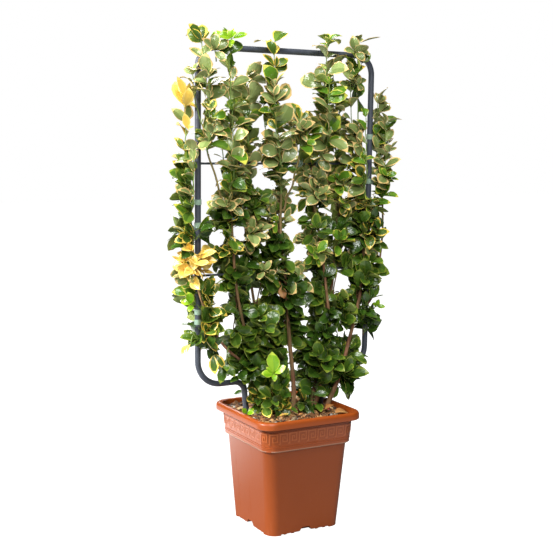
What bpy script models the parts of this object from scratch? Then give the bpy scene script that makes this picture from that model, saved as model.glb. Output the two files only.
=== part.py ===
"""A golden-edged Japanese spindle, trained flat on a bent tube frame in a square plastic pot.

Metres, +Z up. The origin is on the ground under the middle of the pot, +X runs to the right
along the frame and -Y is the front. Run it with: blender --background --python part.py
"""

import math
import random

import bmesh
import bpy
import numpy as np
from mathutils import Matrix, Vector

# The clear gap that touching pieces keep
GAP = 0.0003

# Pot, as half widths of its rounded square outline at each height
POT_HEIGHT = 0.310
RIM_HALF, RIM_RADIUS = 0.1486, 0.040
RIM_SKIRT = 0.019
RIM_THICK = 0.004
RIM_LEDGE = 0.016
RIM_ROUND = 0.002
BAND_TOP_HALF, BAND_BOTTOM_HALF, BAND_RADIUS = 0.1338, 0.1292, 0.034
BAND_BOTTOM_Z = 0.2293
STEP_DROP = 0.005
BODY_TOP_HALF, BODY_RADIUS = 0.1219, 0.031
BASE_HALF, BASE_RADIUS = 0.1056, 0.029
WALL = 0.003
FLOOR_Z = 0.019
CORNER_STEPS = 5
FOOT_HEIGHT = 0.003
FOOT_REACH = 0.034
PAD_RADIUS = 0.022
LUG_WIDTH, LUG_DEPTH = 0.008, 0.004
LUG_PLACES = (0.036, 0.058)
NOTCH_FOOT, NOTCH_TOP, NOTCH_HEIGHT, NOTCH_DEPTH = 0.042, 0.022, 0.013, 0.014

# Bark-covered compost, level in the middle and falling towards the wall
HOLE_SIDES = 16
SOIL_EDGE_Z, SOIL_TOP_Z = 0.290, 0.300
SOIL_LEVEL_SHARE = 0.80

# Frame: one tube bent from foot to foot, with two thin bars across
TUBE_RADIUS = 0.0075
BAR_RADIUS = 0.0028
FRAME_X, FRAME_Y = -0.006, 0.0035
FRAME_HALF = 0.250
FRAME_TOP_Z, FRAME_BOTTOM_Z = 1.2165, 0.3884
TOP_BEND, BOTTOM_BEND, FOOT_BEND = 0.048, 0.062, 0.030
LEG_TOP_HALF, LEG_END_HALF = 0.1177, 0.095
LEG_END_Z = 0.140
BEND_LEAD = 0.004
BAR_HEIGHTS = {"frame_bar_lower": 0.666, "frame_bar_upper": 0.940}
BEND_STEPS = 6
TUBE_SIDES_RESOLUTION = 4

# Leaves and twigs of the solid masses. The leaves are fewer and larger than on the real plant.
# Factors after a twig's name are shares of TWIG_RADIUS, at its thick and its thin end
BUSH_LEAF, WAND_LEAF = (0.074, 0.048), (0.058, 0.036)
LEAF_THICK = 0.0018
LEAF_WIDEST = 0.55
LEAF_DROOP = 0.12
LEAF_ROOT = 0.0006
LEAF_PROBES = 10
LEAF_FREE_SHARE = 0.4
LEAF_SPACING = 0.0065
LIFT_SPREAD, ROLL_SPREAD = 0.12, 0.16
PAIR_STAGGER = 0.001
SIZE_RANGE = (0.86, 1.08)
TWIG_RADIUS = 0.0021
CLEAR = 0.0022
PROBE_SPACING = 0.004
LIMB_PROBES = 40
TWIG_OVERLAP = 0.0015
TWIG_TAPER = 0.75
WAND_FOOT_TWIG, WAND_TWIG = (1.2, 1.15), (1.15, 0.75)
BUSH_FOOT_TWIG, FORK_TWIG, SHOOT_TWIG = (1.15, 1.1), (1.1, 1.0), 0.9

# Each limb: foot, two guide points of its smooth curve, tip, and its foot and tip radius
GROUND = SOIL_TOP_Z + GAP
STEMS = {
    "stem_middle": (
        (0.012, -0.014, GROUND), (0.014, -0.018, 0.47), (-0.038, -0.016, 0.65), (-0.034, -0.016, 0.865),
        0.0062, 0.0030),
    "stem_left": (
        (-0.050, -0.010, GROUND), (-0.122, -0.014, 0.42), (-0.166, -0.018, 0.60), (-0.178, -0.016, 0.860),
        0.0052, 0.0028),
    "stem_inner_left": (
        (-0.022, 0.016, GROUND), (-0.075, 0.022, 0.46), (-0.112, 0.022, 0.66), (-0.124, 0.016, 0.900),
        0.0045, 0.0026),
    "stem_inner_right": (
        (0.074, -0.014, GROUND), (0.136, -0.020, 0.42), (0.122, -0.018, 0.62), (0.052, -0.016, 0.880),
        0.0055, 0.0028),
    "stem_back_right": (
        (0.092, 0.024, GROUND), (0.120, 0.026, 0.48), (0.178, 0.024, 0.70), (0.150, 0.018, 0.930),
        0.0050, 0.0028),
    "stem_right": (
        (0.106, -0.026, GROUND), (0.166, -0.026, 0.42), (0.226, -0.018, 0.55), (0.222, -0.016, 0.840),
        0.0062, 0.0030),
}

# Each bough: the limb that it leaves, how far along, its guide points, tip and radii
BOUGHS = {
    "bough_outer_left": (
        "stem_left", 0.36, (-0.190, -0.024, 0.485), (-0.279, -0.028, 0.530), (-0.283, -0.016, 0.790),
        0.0034, 0.0024),
    "bough_outer_right": (
        "stem_right", 0.60, (0.245, -0.026, 0.58), (0.282, -0.026, 0.62), (0.278, -0.014, 0.840),
        0.0032, 0.0024),
    "bough_fork_left": (
        "stem_left", 0.93, (-0.198, -0.020, 0.86), (-0.226, -0.022, 0.91), (-0.240, -0.018, 0.965),
        0.0026, 0.0022),
    "bough_fork_middle": (
        "stem_middle", 0.94, (-0.020, -0.022, 0.865), (0.004, -0.022, 0.90), (0.016, -0.018, 0.960),
        0.0026, 0.0022),
    "bough_fork_right": (
        "stem_back_right", 0.88, (0.128, 0.006, 0.895), (0.100, -0.004, 0.92), (0.095, -0.010, 0.965),
        0.0026, 0.0022),
}
LIMB_STEPS = 12
BOUGH_STEPS = 8
FLARE = 1.4
FLARE_HEIGHT = 0.010
SWAY = 0.0025

# Each mass: its limb, and its own space as (x, y, z) low and high. A wand grows on from its limb's
# tip and a bush from the side of its limb
WANDS = {
    "foliage_top_left": ("bough_fork_left", (-0.288, -0.075, 0.966), (-0.214, 0.060, 1.250)),
    "foliage_top_outer_left": ("bough_outer_left", (-0.335, -0.070, 0.792), (-0.2885, 0.070, 1.115)),
    "foliage_top_inner_left": ("stem_left", (-0.2135, -0.075, 0.862), (-0.1455, 0.070, 1.268)),
    "foliage_top_left_middle": ("stem_inner_left", (-0.145, -0.070, 0.902), (-0.0905, 0.075, 1.170)),
    "foliage_top_middle": ("stem_middle", (-0.090, -0.078, 0.867), (-0.0215, 0.065, 1.256)),
    "foliage_top_right_middle": ("bough_fork_middle", (-0.021, -0.070, 0.962), (0.0505, 0.070, 1.070)),
    "foliage_top_inner_right": ("bough_fork_right", (0.051, -0.075, 0.967), (0.1205, 0.070, 1.268)),
    "foliage_top_right": ("stem_back_right", (0.121, -0.070, 0.932), (0.158, 0.075, 1.205)),
    "foliage_top_far_right": ("stem_right", (0.1585, -0.075, 0.862), (0.2225, 0.075, 1.270)),
    "foliage_top_outer_right": ("bough_outer_right", (0.223, -0.070, 0.842), (0.310, 0.070, 1.120)),
}
BUSHES = {
    "foliage_upper_outer_left": ("bough_outer_left", (-0.335, -0.080, 0.640), (-0.238, 0.080, 0.7915)),
    "foliage_upper_left": ("stem_left", (-0.2375, -0.085, 0.690), (-0.1485, 0.085, 0.8615)),
    "foliage_upper_inner_left": ("stem_inner_left", (-0.148, -0.085, 0.690), (-0.0725, 0.085, 0.9015)),
    "foliage_upper_middle": ("stem_middle", (-0.072, -0.085, 0.660), (0.0105, 0.085, 0.8665)),
    "foliage_upper_inner_right": ("stem_inner_right", (0.011, -0.085, 0.660), (0.0985, 0.085, 0.961)),
    "foliage_upper_right": ("stem_back_right", (0.099, -0.085, 0.690), (0.180, 0.085, 0.9315)),
    "foliage_upper_outer_right": ("stem_right", (0.1805, -0.085, 0.690), (0.310, 0.085, 0.8415)),
    "foliage_middle_outer_left": ("bough_outer_left", (-0.325, -0.085, 0.470), (-0.208, 0.080, 0.6395)),
    "foliage_middle_left": ("stem_left", (-0.2075, -0.095, 0.500), (-0.1255, 0.095, 0.6895)),
    "foliage_middle_inner_left": ("stem_inner_left", (-0.125, -0.095, 0.470), (-0.0405, 0.095, 0.6895)),
    "foliage_middle": ("stem_middle", (-0.040, -0.100, 0.460), (0.045, 0.095, 0.6595)),
    "foliage_middle_inner_right": ("stem_inner_right", (0.0455, -0.100, 0.460), (0.128, 0.095, 0.6595)),
    "foliage_middle_right": ("stem_back_right", (0.1285, -0.095, 0.500), (0.2045, 0.095, 0.6895)),
    "foliage_middle_outer_right": ("stem_right", (0.205, -0.095, 0.470), (0.308, 0.090, 0.6895)),
    "foliage_lower_left": ("stem_left", (-0.215, -0.095, 0.385), (-0.090, 0.095, 0.4995)),
    "foliage_lower_middle": ("stem_inner_left", (-0.0895, -0.110, 0.306), (-0.004, 0.100, 0.4595)),
    "foliage_lower_inner_right": ("stem_inner_right", (0.022, -0.110, 0.306), (0.117, 0.100, 0.4595)),
    "foliage_lower_right": ("stem_right", (0.1175, -0.100, 0.325), (0.245, 0.095, 0.4595)),
}
BUSH_SHOOTS = 8
SHOOT_PAIRS, SHOOT_PAIR_STEP = 3, 0.32
SHOOT_LENGTH = (0.028, 0.056)
SHOOT_LIFT, SHOOT_LIFT_STEP = math.radians(54), math.radians(12)
SHOOT_SWAY, SHOOT_RISE = 0.16, (0.2, 0.7)
SHOOT_LEAN, SHOOT_LEAN_STEP, SHOOT_LENGTH_STEP = 0.6, 0.2, 0.15
TUFT_PAIRS = ((math.radians(48), 0.9), (math.radians(62), 0.7))
GOLDEN_ANGLE, ANGLE_SPREAD = math.radians(137.5), 0.2
KNEE, KNEE_SPAN, KNEE_OFFSET = 0.010, (0.04, 0.92), 0.004
KNEE_TURNS = (0, 180, 60, -60, 120, -120)
FORK_SPREAD_STEP, FORK_DROP_STEP = 0.02, 0.06
ROOT_SPAN = (0.12, 0.85)
TUFT_ROOM = 0.036
WAND_PAIR_SPACING = 0.024
PAIRS_PER_STRETCH = 3
WAND_FOOT, WAND_LEAD, WAND_LOOK_BACK = 0.006, 0.03, 0.02
WAND_LIFT, WAND_TIP_LIFT = math.radians(42), math.radians(60)
WAND_TURN_SPREAD, WAND_SHRINK, WAND_TIP_SIZE = 0.15, 0.12, 0.75
TRIES = 4
SEED = 500
LIFT_STEP, SIZE_STEP = math.radians(9), 0.08
LEAST_SIDE, SPARE_UP = 0.05, Vector((0.3, 1.0, 0.0))


def clear_scene():
    for obj in list(bpy.data.objects):
        bpy.data.objects.remove(obj, do_unlink=True)


def new_collection(name):
    made = bpy.data.collections.new(name)
    bpy.context.scene.collection.children.link(made)
    return made


def material(name, colour, roughness, metallic=0.0):
    made = bpy.data.materials.new(name)
    made.use_nodes = True
    shader = made.node_tree.nodes["Principled BSDF"]
    shader.inputs["Base Color"].default_value = (*colour, 1.0)
    shader.inputs["Roughness"].default_value = roughness
    shader.inputs["Metallic"].default_value = metallic
    return made


def mesh_object(name, bm, collection, finish=None):
    mesh = bpy.data.meshes.new(name)
    bm.to_mesh(mesh)
    bm.free()
    made = bpy.data.objects.new(name, mesh)
    collection.objects.link(made)
    if finish is not None:
        mesh.materials.append(finish)
    return made


def smooth(obj, degrees=40):
    obj.data.shade_smooth()
    obj.data.set_sharp_from_angle(angle=math.radians(degrees))


def apply_boolean(obj, others, operation):
    """One Boolean with all of a collection, applied, with the collection and its objects removed."""
    cut = obj.modifiers.new(operation.title(), "BOOLEAN")
    cut.operation, cut.solver = operation, "EXACT"
    cut.operand_type, cut.collection = "COLLECTION", others
    graph = bpy.context.evaluated_depsgraph_get()
    made = bpy.data.meshes.new_from_object(obj.evaluated_get(graph))
    obj.modifiers.remove(cut)
    old, obj.data = obj.data, made
    bpy.data.meshes.remove(old)
    for operand in list(others.objects):
        bpy.data.objects.remove(operand, do_unlink=True)
    bpy.data.collections.remove(others)


# Pot and soil

def rounded_square(half, radius, z):
    """Points round a square with round corners, from the corner at +X +Y."""
    points = []
    for corner in range(4):
        turn = corner * math.pi / 2
        centre = Matrix.Rotation(turn, 3, "Z") @ Vector((half - radius, half - radius, 0))
        for step in range(CORNER_STEPS + 1):
            angle = turn + step * math.pi / 2 / CORNER_STEPS
            points.append(centre + Vector((radius * math.cos(angle), radius * math.sin(angle), z)))
    return points


def loft(levels):
    """A closed solid through rounded squares, given as (half, radius, z), capped at both ends."""
    bm = bmesh.new()
    rings = [[bm.verts.new(point) for point in rounded_square(*level)] for level in levels]
    count = len(rings[0])
    for low, high in zip(rings, rings[1:]):
        for i in range(count):
            j = (i + 1) % count
            bm.faces.new((low[i], low[j], high[j], high[i]))
    bm.faces.new(list(reversed(rings[0])))
    bm.faces.new(rings[-1])
    return bm


def wall_levels(inset):
    """The wall from under the rim down to the floor, moved in by inset."""
    rows = (
        (BAND_TOP_HALF, BAND_RADIUS, POT_HEIGHT - RIM_THICK),
        (BAND_BOTTOM_HALF, BAND_RADIUS, BAND_BOTTOM_Z),
        (BODY_TOP_HALF, BODY_RADIUS, BAND_BOTTOM_Z - STEP_DROP),
        (BASE_HALF, BASE_RADIUS, 0.0),
    )
    return [(half - inset, radius - inset, z) for half, radius, z in rows]


def level_between(upper, lower, z):
    share = (z - lower[2]) / (upper[2] - lower[2])
    half, radius = (low + share * (high - low) for high, low in zip(upper[:2], lower[:2]))
    return half, radius, z


def box(collection, name, low, high):
    bm = bmesh.new()
    bmesh.ops.create_cube(bm, size=1.0)
    low, high = Vector(low), Vector(high)
    bmesh.ops.scale(bm, vec=high - low, verts=bm.verts)
    bmesh.ops.translate(bm, vec=(low + high) / 2, verts=bm.verts)
    return mesh_object(name, bm, collection)


def rod(collection, name, start, end, radius, end_radius, sides):
    """A round or faceted rod from start to end."""
    bm = bmesh.new()
    depth = (end - start).length
    bmesh.ops.create_cone(
        bm, cap_ends=True, segments=sides, radius1=radius, radius2=end_radius, depth=depth)
    turn = (end - start).to_track_quat("Z", "Y").to_matrix().to_4x4()
    bm.transform(Matrix.Translation((start + end) / 2) @ turn)
    return mesh_object(name, bm, collection)


def leg_ends(side):
    """The lower and upper end of a leg's straight run, which leans in as it goes down."""
    x = FRAME_X + side * LEG_END_HALF
    top_x = FRAME_X + side * LEG_TOP_HALF
    return Vector((x, FRAME_Y, LEG_END_Z)), Vector((top_x, FRAME_Y, FRAME_BOTTOM_Z - FOOT_BEND))


def notch_cutter(collection, turn):
    """A drain notch, wider at the ground, through the foot of one side."""
    inner, outer = BASE_HALF - NOTCH_DEPTH, BASE_HALF + WALL
    bm = bmesh.new()
    bmesh.ops.create_cube(bm, size=1.0)
    for vert in bm.verts:
        width = NOTCH_TOP if vert.co.z > 0 else NOTCH_FOOT
        vert.co = Vector((
            width * vert.co.x,
            outer if vert.co.y > 0 else inner,
            NOTCH_HEIGHT if vert.co.z > 0 else -WALL,
        ))
    bm.transform(Matrix.Rotation(turn, 4, "Z"))
    return mesh_object("notch", bm, collection)


def build_pot(parts, finish):
    skirt_z = POT_HEIGHT - RIM_SKIRT
    under_z = POT_HEIGHT - RIM_THICK
    outside, inside = wall_levels(0.0), wall_levels(WALL)
    levels = [
        outside[3],
        outside[2],
        outside[1],
        outside[0],
        (RIM_HALF - WALL, RIM_RADIUS - WALL, under_z),
        (RIM_HALF - WALL, RIM_RADIUS - WALL, skirt_z),
        (RIM_HALF, RIM_RADIUS, skirt_z),
        (RIM_HALF, RIM_RADIUS, POT_HEIGHT - RIM_ROUND),
        (RIM_HALF - RIM_ROUND, RIM_RADIUS - RIM_ROUND, POT_HEIGHT),
        (RIM_HALF - RIM_LEDGE, RIM_RADIUS - RIM_LEDGE, POT_HEIGHT),
        (inside[0][0], inside[0][1], under_z - RIM_THICK),
        inside[1],
        inside[2],
        level_between(inside[2], inside[3], FLOOR_Z),
    ]
    pot = mesh_object("pot", loft(levels), parts, finish)

    channels = new_collection("channels")
    reach = BASE_HALF - FOOT_REACH
    for name, along in (("channel_x", (1.0, 0.0)), ("channel_y", (0.0, 1.0))):
        size = [BASE_HALF + WALL if part else reach for part in along]
        box(channels, name, (-size[0], -size[1], -WALL), (size[0], size[1], FOOT_HEIGHT))
    for side in range(4):
        notch_cutter(channels, side * math.pi / 2)
    apply_boolean(pot, channels, "DIFFERENCE")

    feet = new_collection("feet")
    bm = bmesh.new()
    bmesh.ops.create_cone(
        bm, cap_ends=True, segments=16, radius1=PAD_RADIUS, radius2=PAD_RADIUS, depth=2 * FOOT_HEIGHT)
    bmesh.ops.translate(bm, vec=(0, 0, FOOT_HEIGHT), verts=bm.verts)
    mesh_object("pad", bm, feet)
    for side in range(4):
        for place in LUG_PLACES:
            for way in (-1, 1):
                lug = box(feet, "lug", (
                    way * place - LUG_WIDTH / 2, BASE_HALF - 2 * WALL - LUG_DEPTH, 0.0,
                ), (way * place + LUG_WIDTH / 2, BASE_HALF - WALL, 2 * FOOT_HEIGHT))
                lug.data.transform(Matrix.Rotation(side * math.pi / 2, 4, "Z"))
    apply_boolean(pot, feet, "UNION")
    smooth(pot)


def build_soil(parts, finish):
    inside = wall_levels(WALL + GAP)
    floor = level_between(inside[2], inside[3], FLOOR_Z + GAP)
    edge = level_between(inside[0], inside[1], SOIL_EDGE_Z)
    middle = (SOIL_LEVEL_SHARE * edge[0], SOIL_LEVEL_SHARE * edge[1], SOIL_TOP_Z)
    soil = mesh_object("soil", loft([floor, inside[2], inside[1], edge, middle]), parts, finish)
    holes = new_collection("leg_holes")
    for side in (-1, 1):
        start, end = leg_ends(side)
        along_it = (end - start).normalized()
        radius = (TUBE_RADIUS + GAP) / math.cos(math.pi / HOLE_SIDES)
        rod(holes, "leg_hole", start - along_it * GAP, end, radius, radius, HOLE_SIDES)
    apply_boolean(soil, holes, "DIFFERENCE")
    smooth(soil)


# Tubes and limbs are curves with a round bevel

def tube(parts, name, points, radii, finish, resolution):
    curve = bpy.data.curves.new(name, "CURVE")
    curve.dimensions = "3D"
    curve.bevel_depth = 1.0
    curve.bevel_resolution = resolution
    curve.use_fill_caps = True
    line = curve.splines.new("POLY")
    line.points.add(len(points) - 1)
    for point, place, radius in zip(line.points, points, radii):
        point.co = (*place, 1.0)
        point.radius = radius
    curve.materials.append(finish)
    made = bpy.data.objects.new(name, curve)
    parts.objects.link(made)
    return made


def arc(centre, radius, start, end):
    """Points of a bend in the frame's plane, from angle start to end in degrees."""
    points = []
    for step in range(BEND_STEPS + 1):
        angle = math.radians(start + (end - start) * step / BEND_STEPS)
        x, z = centre[0] + radius * math.cos(angle), centre[1] + radius * math.sin(angle)
        points.append(Vector((x, FRAME_Y, z)))
    return points


def shortened(points, cut):
    """The same line with its two ends drawn back by cut."""
    points = [Vector(p) for p in points]
    points[0] += (points[1] - points[0]).normalized() * cut
    points[-1] += (points[-2] - points[-1]).normalized() * cut
    return points


def frame_lines():
    """The frame's bent tube as straight runs and bends, and its bars, by node name."""
    lines = {}
    half, top, bottom = FRAME_HALF, FRAME_TOP_Z - TOP_BEND, FRAME_BOTTOM_Z + BOTTOM_BEND
    run = half - TOP_BEND - BEND_LEAD
    lines["frame_top_rail"] = [(FRAME_X - run, FRAME_Y, FRAME_TOP_Z), (FRAME_X + run, FRAME_Y, FRAME_TOP_Z)]
    for side, name in ((-1, "left"), (1, "right")):
        x = FRAME_X + side * half
        low, high = Vector((x, FRAME_Y, bottom + BEND_LEAD)), Vector((x, FRAME_Y, top - BEND_LEAD))
        lines[f"frame_upright_{name}"] = [low, high]
        rail_end = Vector((FRAME_X + side * run, FRAME_Y, FRAME_TOP_Z))
        stub_end = Vector((x - side * (BOTTOM_BEND + BEND_LEAD), FRAME_Y, FRAME_BOTTOM_Z))
        outward = 180 if side < 0 else 0
        lines[f"frame_bend_top_{name}"] = [
            rail_end, *arc((x - side * TOP_BEND, top), TOP_BEND, 90, outward), high]
        down = 270 if side < 0 else -90
        lines[f"frame_bend_bottom_{name}"] = [
            stub_end, *arc((x - side * BOTTOM_BEND, bottom), BOTTOM_BEND, down, outward), low]
        leg_end, leg_top = leg_ends(side)
        foot = arc((leg_top.x + side * FOOT_BEND, leg_top.z), FOOT_BEND, 90, 180 - outward)
        lines[f"frame_leg_{name}"] = [stub_end, *foot, leg_end]
    bar_half = FRAME_HALF - TUBE_RADIUS - GAP
    for name, z in BAR_HEIGHTS.items():
        lines[name] = [(FRAME_X - bar_half, FRAME_Y, z), (FRAME_X + bar_half, FRAME_Y, z)]
    return {name: [Vector(p) for p in line] for name, line in lines.items()}


def frame_radius(name):
    return BAR_RADIUS if name in BAR_HEIGHTS else TUBE_RADIUS


def build_frame(parts, finish):
    for name, line in frame_lines().items():
        radius = frame_radius(name)
        points = line if name in BAR_HEIGHTS else shortened(line, GAP / 2)
        tube(parts, name, points, [radius] * len(points), finish, TUBE_SIDES_RESOLUTION)


def bezier(corners, t):
    a, b, c, d = corners
    s = 1 - t
    return s**3 * a + 3 * s**2 * t * b + 3 * s * t**2 * c + t**3 * d


def limb_line(corners, radii, steps, seed, flared):
    """Points and radii of one tapering limb that sways a little, flared at a foot on the ground."""
    draw = random.Random(seed)
    phase, waves = draw.uniform(0, math.tau), draw.uniform(1.2, 2.0)
    corners = [Vector(corner) for corner in corners]
    points, widths = [], []
    for step in range(steps + 1):
        t = step / steps
        sway = SWAY * 4 * t * (1 - t)
        turn = phase + waves * math.tau * t
        points.append(bezier(corners, t) + Vector((sway * math.cos(turn), sway * math.sin(turn), 0)))
        widths.append(radii[0] + (radii[1] - radii[0]) * t)
    if flared:
        foot = points[0]
        rows = [(foot, radii[0] * FLARE), (foot + Vector((0, 0, FLARE_HEIGHT)), radii[0])]
        rows += [row for row in zip(points, widths) if row[0].z > foot.z + 2 * FLARE_HEIGHT]
        points, widths = (list(column) for column in zip(*rows))
    return points, widths


def along(line, share):
    """Place, direction and radius at a share of a limb's line."""
    points, widths = line
    position = share * (len(points) - 1)
    index = min(int(position), len(points) - 2)
    rest = position - index
    place = points[index].lerp(points[index + 1], rest)
    radius = widths[index] + (widths[index + 1] - widths[index]) * rest
    return place, (points[index + 1] - points[index]).normalized(), radius


def limb_lines():
    lines = {}
    for seed, (name, (*corners, foot, tip)) in enumerate(STEMS.items()):
        lines[name] = limb_line(corners, (foot, tip), LIMB_STEPS, seed, True)
    for seed, (name, (host, share, *corners, foot, tip)) in enumerate(BOUGHS.items()):
        place, direction, radius = along(lines[host], share)
        out = Vector(corners[0]) - place
        out = (out - direction * out.dot(direction)).normalized()
        start = place + out * (radius + GAP)
        first = start + out * (2 * foot)
        points, widths = limb_line([first, *corners], (foot, tip), BOUGH_STEPS, 20 + seed, False)
        lines[name] = ([start, *points], [widths[0], *widths])
    return lines


def build_limbs(parts, lines, finish):
    for name, (points, widths) in lines.items():
        tube(parts, name, points, widths, finish, 2 if name in STEMS else 1)


# Foliage: each mass is twigs and leaves grown from one stem, then fused

def stretches(lines):
    """Every straight stretch of the round lines as a row: start, step, radius and change of radius."""
    rows = []
    for points, widths in lines:
        for i in range(len(points) - 1):
            rows.append((*points[i], *(points[i + 1] - points[i]), widths[i], widths[i + 1] - widths[i]))
    return np.array(rows)


def clearance(points, table):
    """Distance from each point to the surface of the nearest stretch."""
    start, step, radius, change = table[:, :3], table[:, 3:6], table[:, 6], table[:, 7]
    offset = points[:, None, :] - start
    share = np.clip((offset * step).sum(axis=2) / (step**2).sum(axis=1), 0, 1)
    distance = np.linalg.norm(offset - share[..., None] * step, axis=2)
    return (distance - radius - share * change).min(axis=1)


def leaf_probes(start, middle, tip, sides):
    """Points spread over a leaf, too close for a limb to pass between, and their shares of its length."""
    shares = np.linspace(0, 1, LEAF_PROBES + 1)[1:]

    def line_through(place):
        columns = np.array((start, place, tip)).T
        return np.stack([np.interp(shares, (0, LEAF_WIDEST, 1), column) for column in columns], axis=1)

    spine = line_through(middle)
    rows = [spine + (line_through(side) - spine) * part for side in sides for part in (0, 1 / 3, 2 / 3, 1)]
    return np.concatenate(rows), np.tile(shares, len(rows))


def frame_of(direction, up):
    """Axes with X along direction and Z as near to up as it can be."""
    x = direction.normalized()
    y = up.cross(x)
    if y.length < LEAST_SIDE:
        y = SPARE_UP.cross(x)
    y.normalize()
    return Matrix((x, y, x.cross(y))).transposed()


class Mass:
    """Grows one mass inside its own space, clear of the limbs, the frame and the pot."""

    def __init__(self, name, space, leaf_size, obstacles, seed):
        self.name, self.leaf_size, self.obstacles = name, leaf_size, obstacles
        self.low, self.high = Vector(space[0]), Vector(space[1])
        self.draw = random.Random(seed)
        self.collection = new_collection(name + "_pieces")
        self.leaves = []
        self.pieces = 0

    def free(self, points, margin=CLEAR):
        places = np.array(points)
        if (places < np.array(self.low) + margin).any() or (places > np.array(self.high) - margin).any():
            return False
        return clearance(places, self.obstacles).min() > margin

    def add(self, bm):
        self.pieces += 1
        return mesh_object(f"{self.name}_{self.pieces:03d}", bm, self.collection)

    def twig(self, start, end, thick, thin, checked=True):
        """A three-sided twig from start to end, unless something is in its way."""
        thick, thin = thick * TWIG_RADIUS, thin * TWIG_RADIUS
        along_it = end - start
        count = math.ceil(along_it.length / PROBE_SPACING)
        probes = [start + along_it * ((i + 1) / count) for i in range(count)]
        if checked and not self.free(probes, thick + CLEAR):
            return False
        self.pieces += 1
        rod(self.collection, f"{self.name}_{self.pieces:03d}", start, end, thick, thin, 3)
        return True

    def leaf(self, root, direction, up, size):
        """A leaf widest past its middle, its tip turned down and its root sunk in the twig."""
        axes = frame_of(direction, up)
        length, width = (size * part for part in self.leaf_size)
        start = root - axes.col[0] * LEAF_ROOT
        tip = start + axes.col[0] * length - axes.col[2] * (LEAF_DROOP * length)
        middle = start + axes.col[0] * (LEAF_WIDEST * length)
        sides = [middle + axes.col[1] * (way * width / 2) for way in (-1, 1)]
        probes, shares = leaf_probes(start, middle, tip, sides)
        if not self.free(probes):
            return False
        outer = probes[shares > LEAF_FREE_SHARE]
        for other in self.leaves:
            if np.linalg.norm(outer[:, None] - other, axis=2).min() < LEAF_SPACING:
                return False
        self.leaves.append(outer)
        bm = bmesh.new()
        bmesh.ops.create_cone(bm, cap_ends=True, segments=4, radius1=1.0, radius2=0.0, depth=1.0)
        for vert in bm.verts:
            x, y, z = vert.co
            if abs(x) > 0.5:
                vert.co = tip if x > 0 else start
            elif abs(y) > 0.5:
                vert.co = sides[1] if y > 0 else sides[0]
            else:
                vert.co = middle + axes.col[2] * LEAF_THICK
        bmesh.ops.triangulate(bm, faces=bm.faces)
        self.add(bm)
        return True

    def pair(self, place, axis, turn, lift, size=1.0):
        """Two opposite leaves, lifted from square to the twig, steeper and smaller where room is short."""
        side = axis.orthogonal().normalized()
        side.rotate(Matrix.Rotation(turn, 3, axis))
        for way in (-1, 1):
            bend = lift + self.draw.gauss(0, LIFT_SPREAD)
            roll = self.draw.gauss(0, ROLL_SPREAD)
            grown = size * self.draw.uniform(*SIZE_RANGE)
            root = place - axis * self.draw.uniform(0, PAIR_STAGGER)
            for attempt in range(TRIES):
                steep = bend + attempt * LIFT_STEP
                out = side * way * math.cos(steep) + axis * math.sin(steep)
                up = axis.copy()
                up.rotate(Matrix.Rotation(roll, 3, out))
                if self.leaf(root, out, up, grown * (1 - attempt * SIZE_STEP)):
                    break

    def shoot(self, root, direction, length):
        """A side twig with pairs of leaves at right angles, closing in a tuft."""
        for attempt in range(TRIES):
            sway = [self.draw.gauss(0, SHOOT_SWAY) for _ in range(2)]
            lean = Vector((*sway, self.draw.uniform(*SHOOT_RISE)))
            axis = (direction + lean * (SHOOT_LEAN + SHOOT_LEAN_STEP * attempt)).normalized()
            end = root + axis * length * (1 - SHOOT_LENGTH_STEP * attempt)
            if self.twig(root - axis * LEAF_ROOT / 2, end, SHOOT_TWIG, SHOOT_TWIG * TWIG_TAPER):
                break
        else:
            return
        turn = self.draw.uniform(0, math.pi)
        for number in range(SHOOT_PAIRS):
            place = root.lerp(end, 1.0 - SHOOT_PAIR_STEP * number) - axis * LEAF_ROOT
            self.pair(place, axis, turn + number * math.pi / 2, SHOOT_LIFT - SHOOT_LIFT_STEP * number)

    def finish(self, material_used):
        first = self.collection.objects[0]
        self.collection.objects.unlink(first)
        bpy.context.scene.collection.objects.link(first)
        apply_boolean(first, self.collection, "UNION")
        keep_main_body(first)
        first.name = self.name
        first.data.materials.clear()
        first.data.materials.append(material_used)
        return first


def keep_main_body(obj):
    """Keeps the largest closed surface: a sealed hollow is filled and a loose scrap is dropped."""
    bm = bmesh.new()
    bm.from_mesh(obj.data)
    unseen = set(bm.faces)
    islands = []
    while unseen:
        island, front = set(), [unseen.pop()]
        while front:
            face = front.pop()
            island.add(face)
            for edge in face.edges:
                for other in edge.link_faces:
                    if other in unseen:
                        unseen.remove(other)
                        front.append(other)
        islands.append(island)
    islands.sort(key=len)
    spare = [face for island in islands[:-1] for face in island]
    bmesh.ops.delete(bm, geom=spare, context="FACES")
    bm.to_mesh(obj.data)
    bm.free()


def middle_of(space):
    return (Vector(space[0]) + Vector(space[1])) / 2


def side_start(mass, line, space):
    """Where a bush leaves its limb, square to it: foot, knee and direction of the first free stretch."""
    middle = middle_of(space)
    first, span = KNEE_SPAN
    spots = [along(line, first + span * i / LIMB_PROBES) for i in range(LIMB_PROBES + 1)]
    spots.sort(key=lambda spot: (spot[0] - middle).length)
    for place, direction, radius in spots:
        side = Vector((0.0, middle.y - place.y, 0.0))
        side = side if side.length > KNEE_OFFSET else Vector((0, -1, 0))
        side = (side - direction * side.dot(direction)).normalized()
        for turn in KNEE_TURNS:
            out = side.copy()
            out.rotate(Matrix.Rotation(math.radians(turn), 3, direction))
            foot = place + out * (radius + GAP)
            knee = foot + out * KNEE
            if mass.free([knee, knee + out * TWIG_RADIUS], TWIG_RADIUS + CLEAR):
                return foot, knee, out
    raise ValueError(f"{mass.name} finds no room beside its limb")


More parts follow.
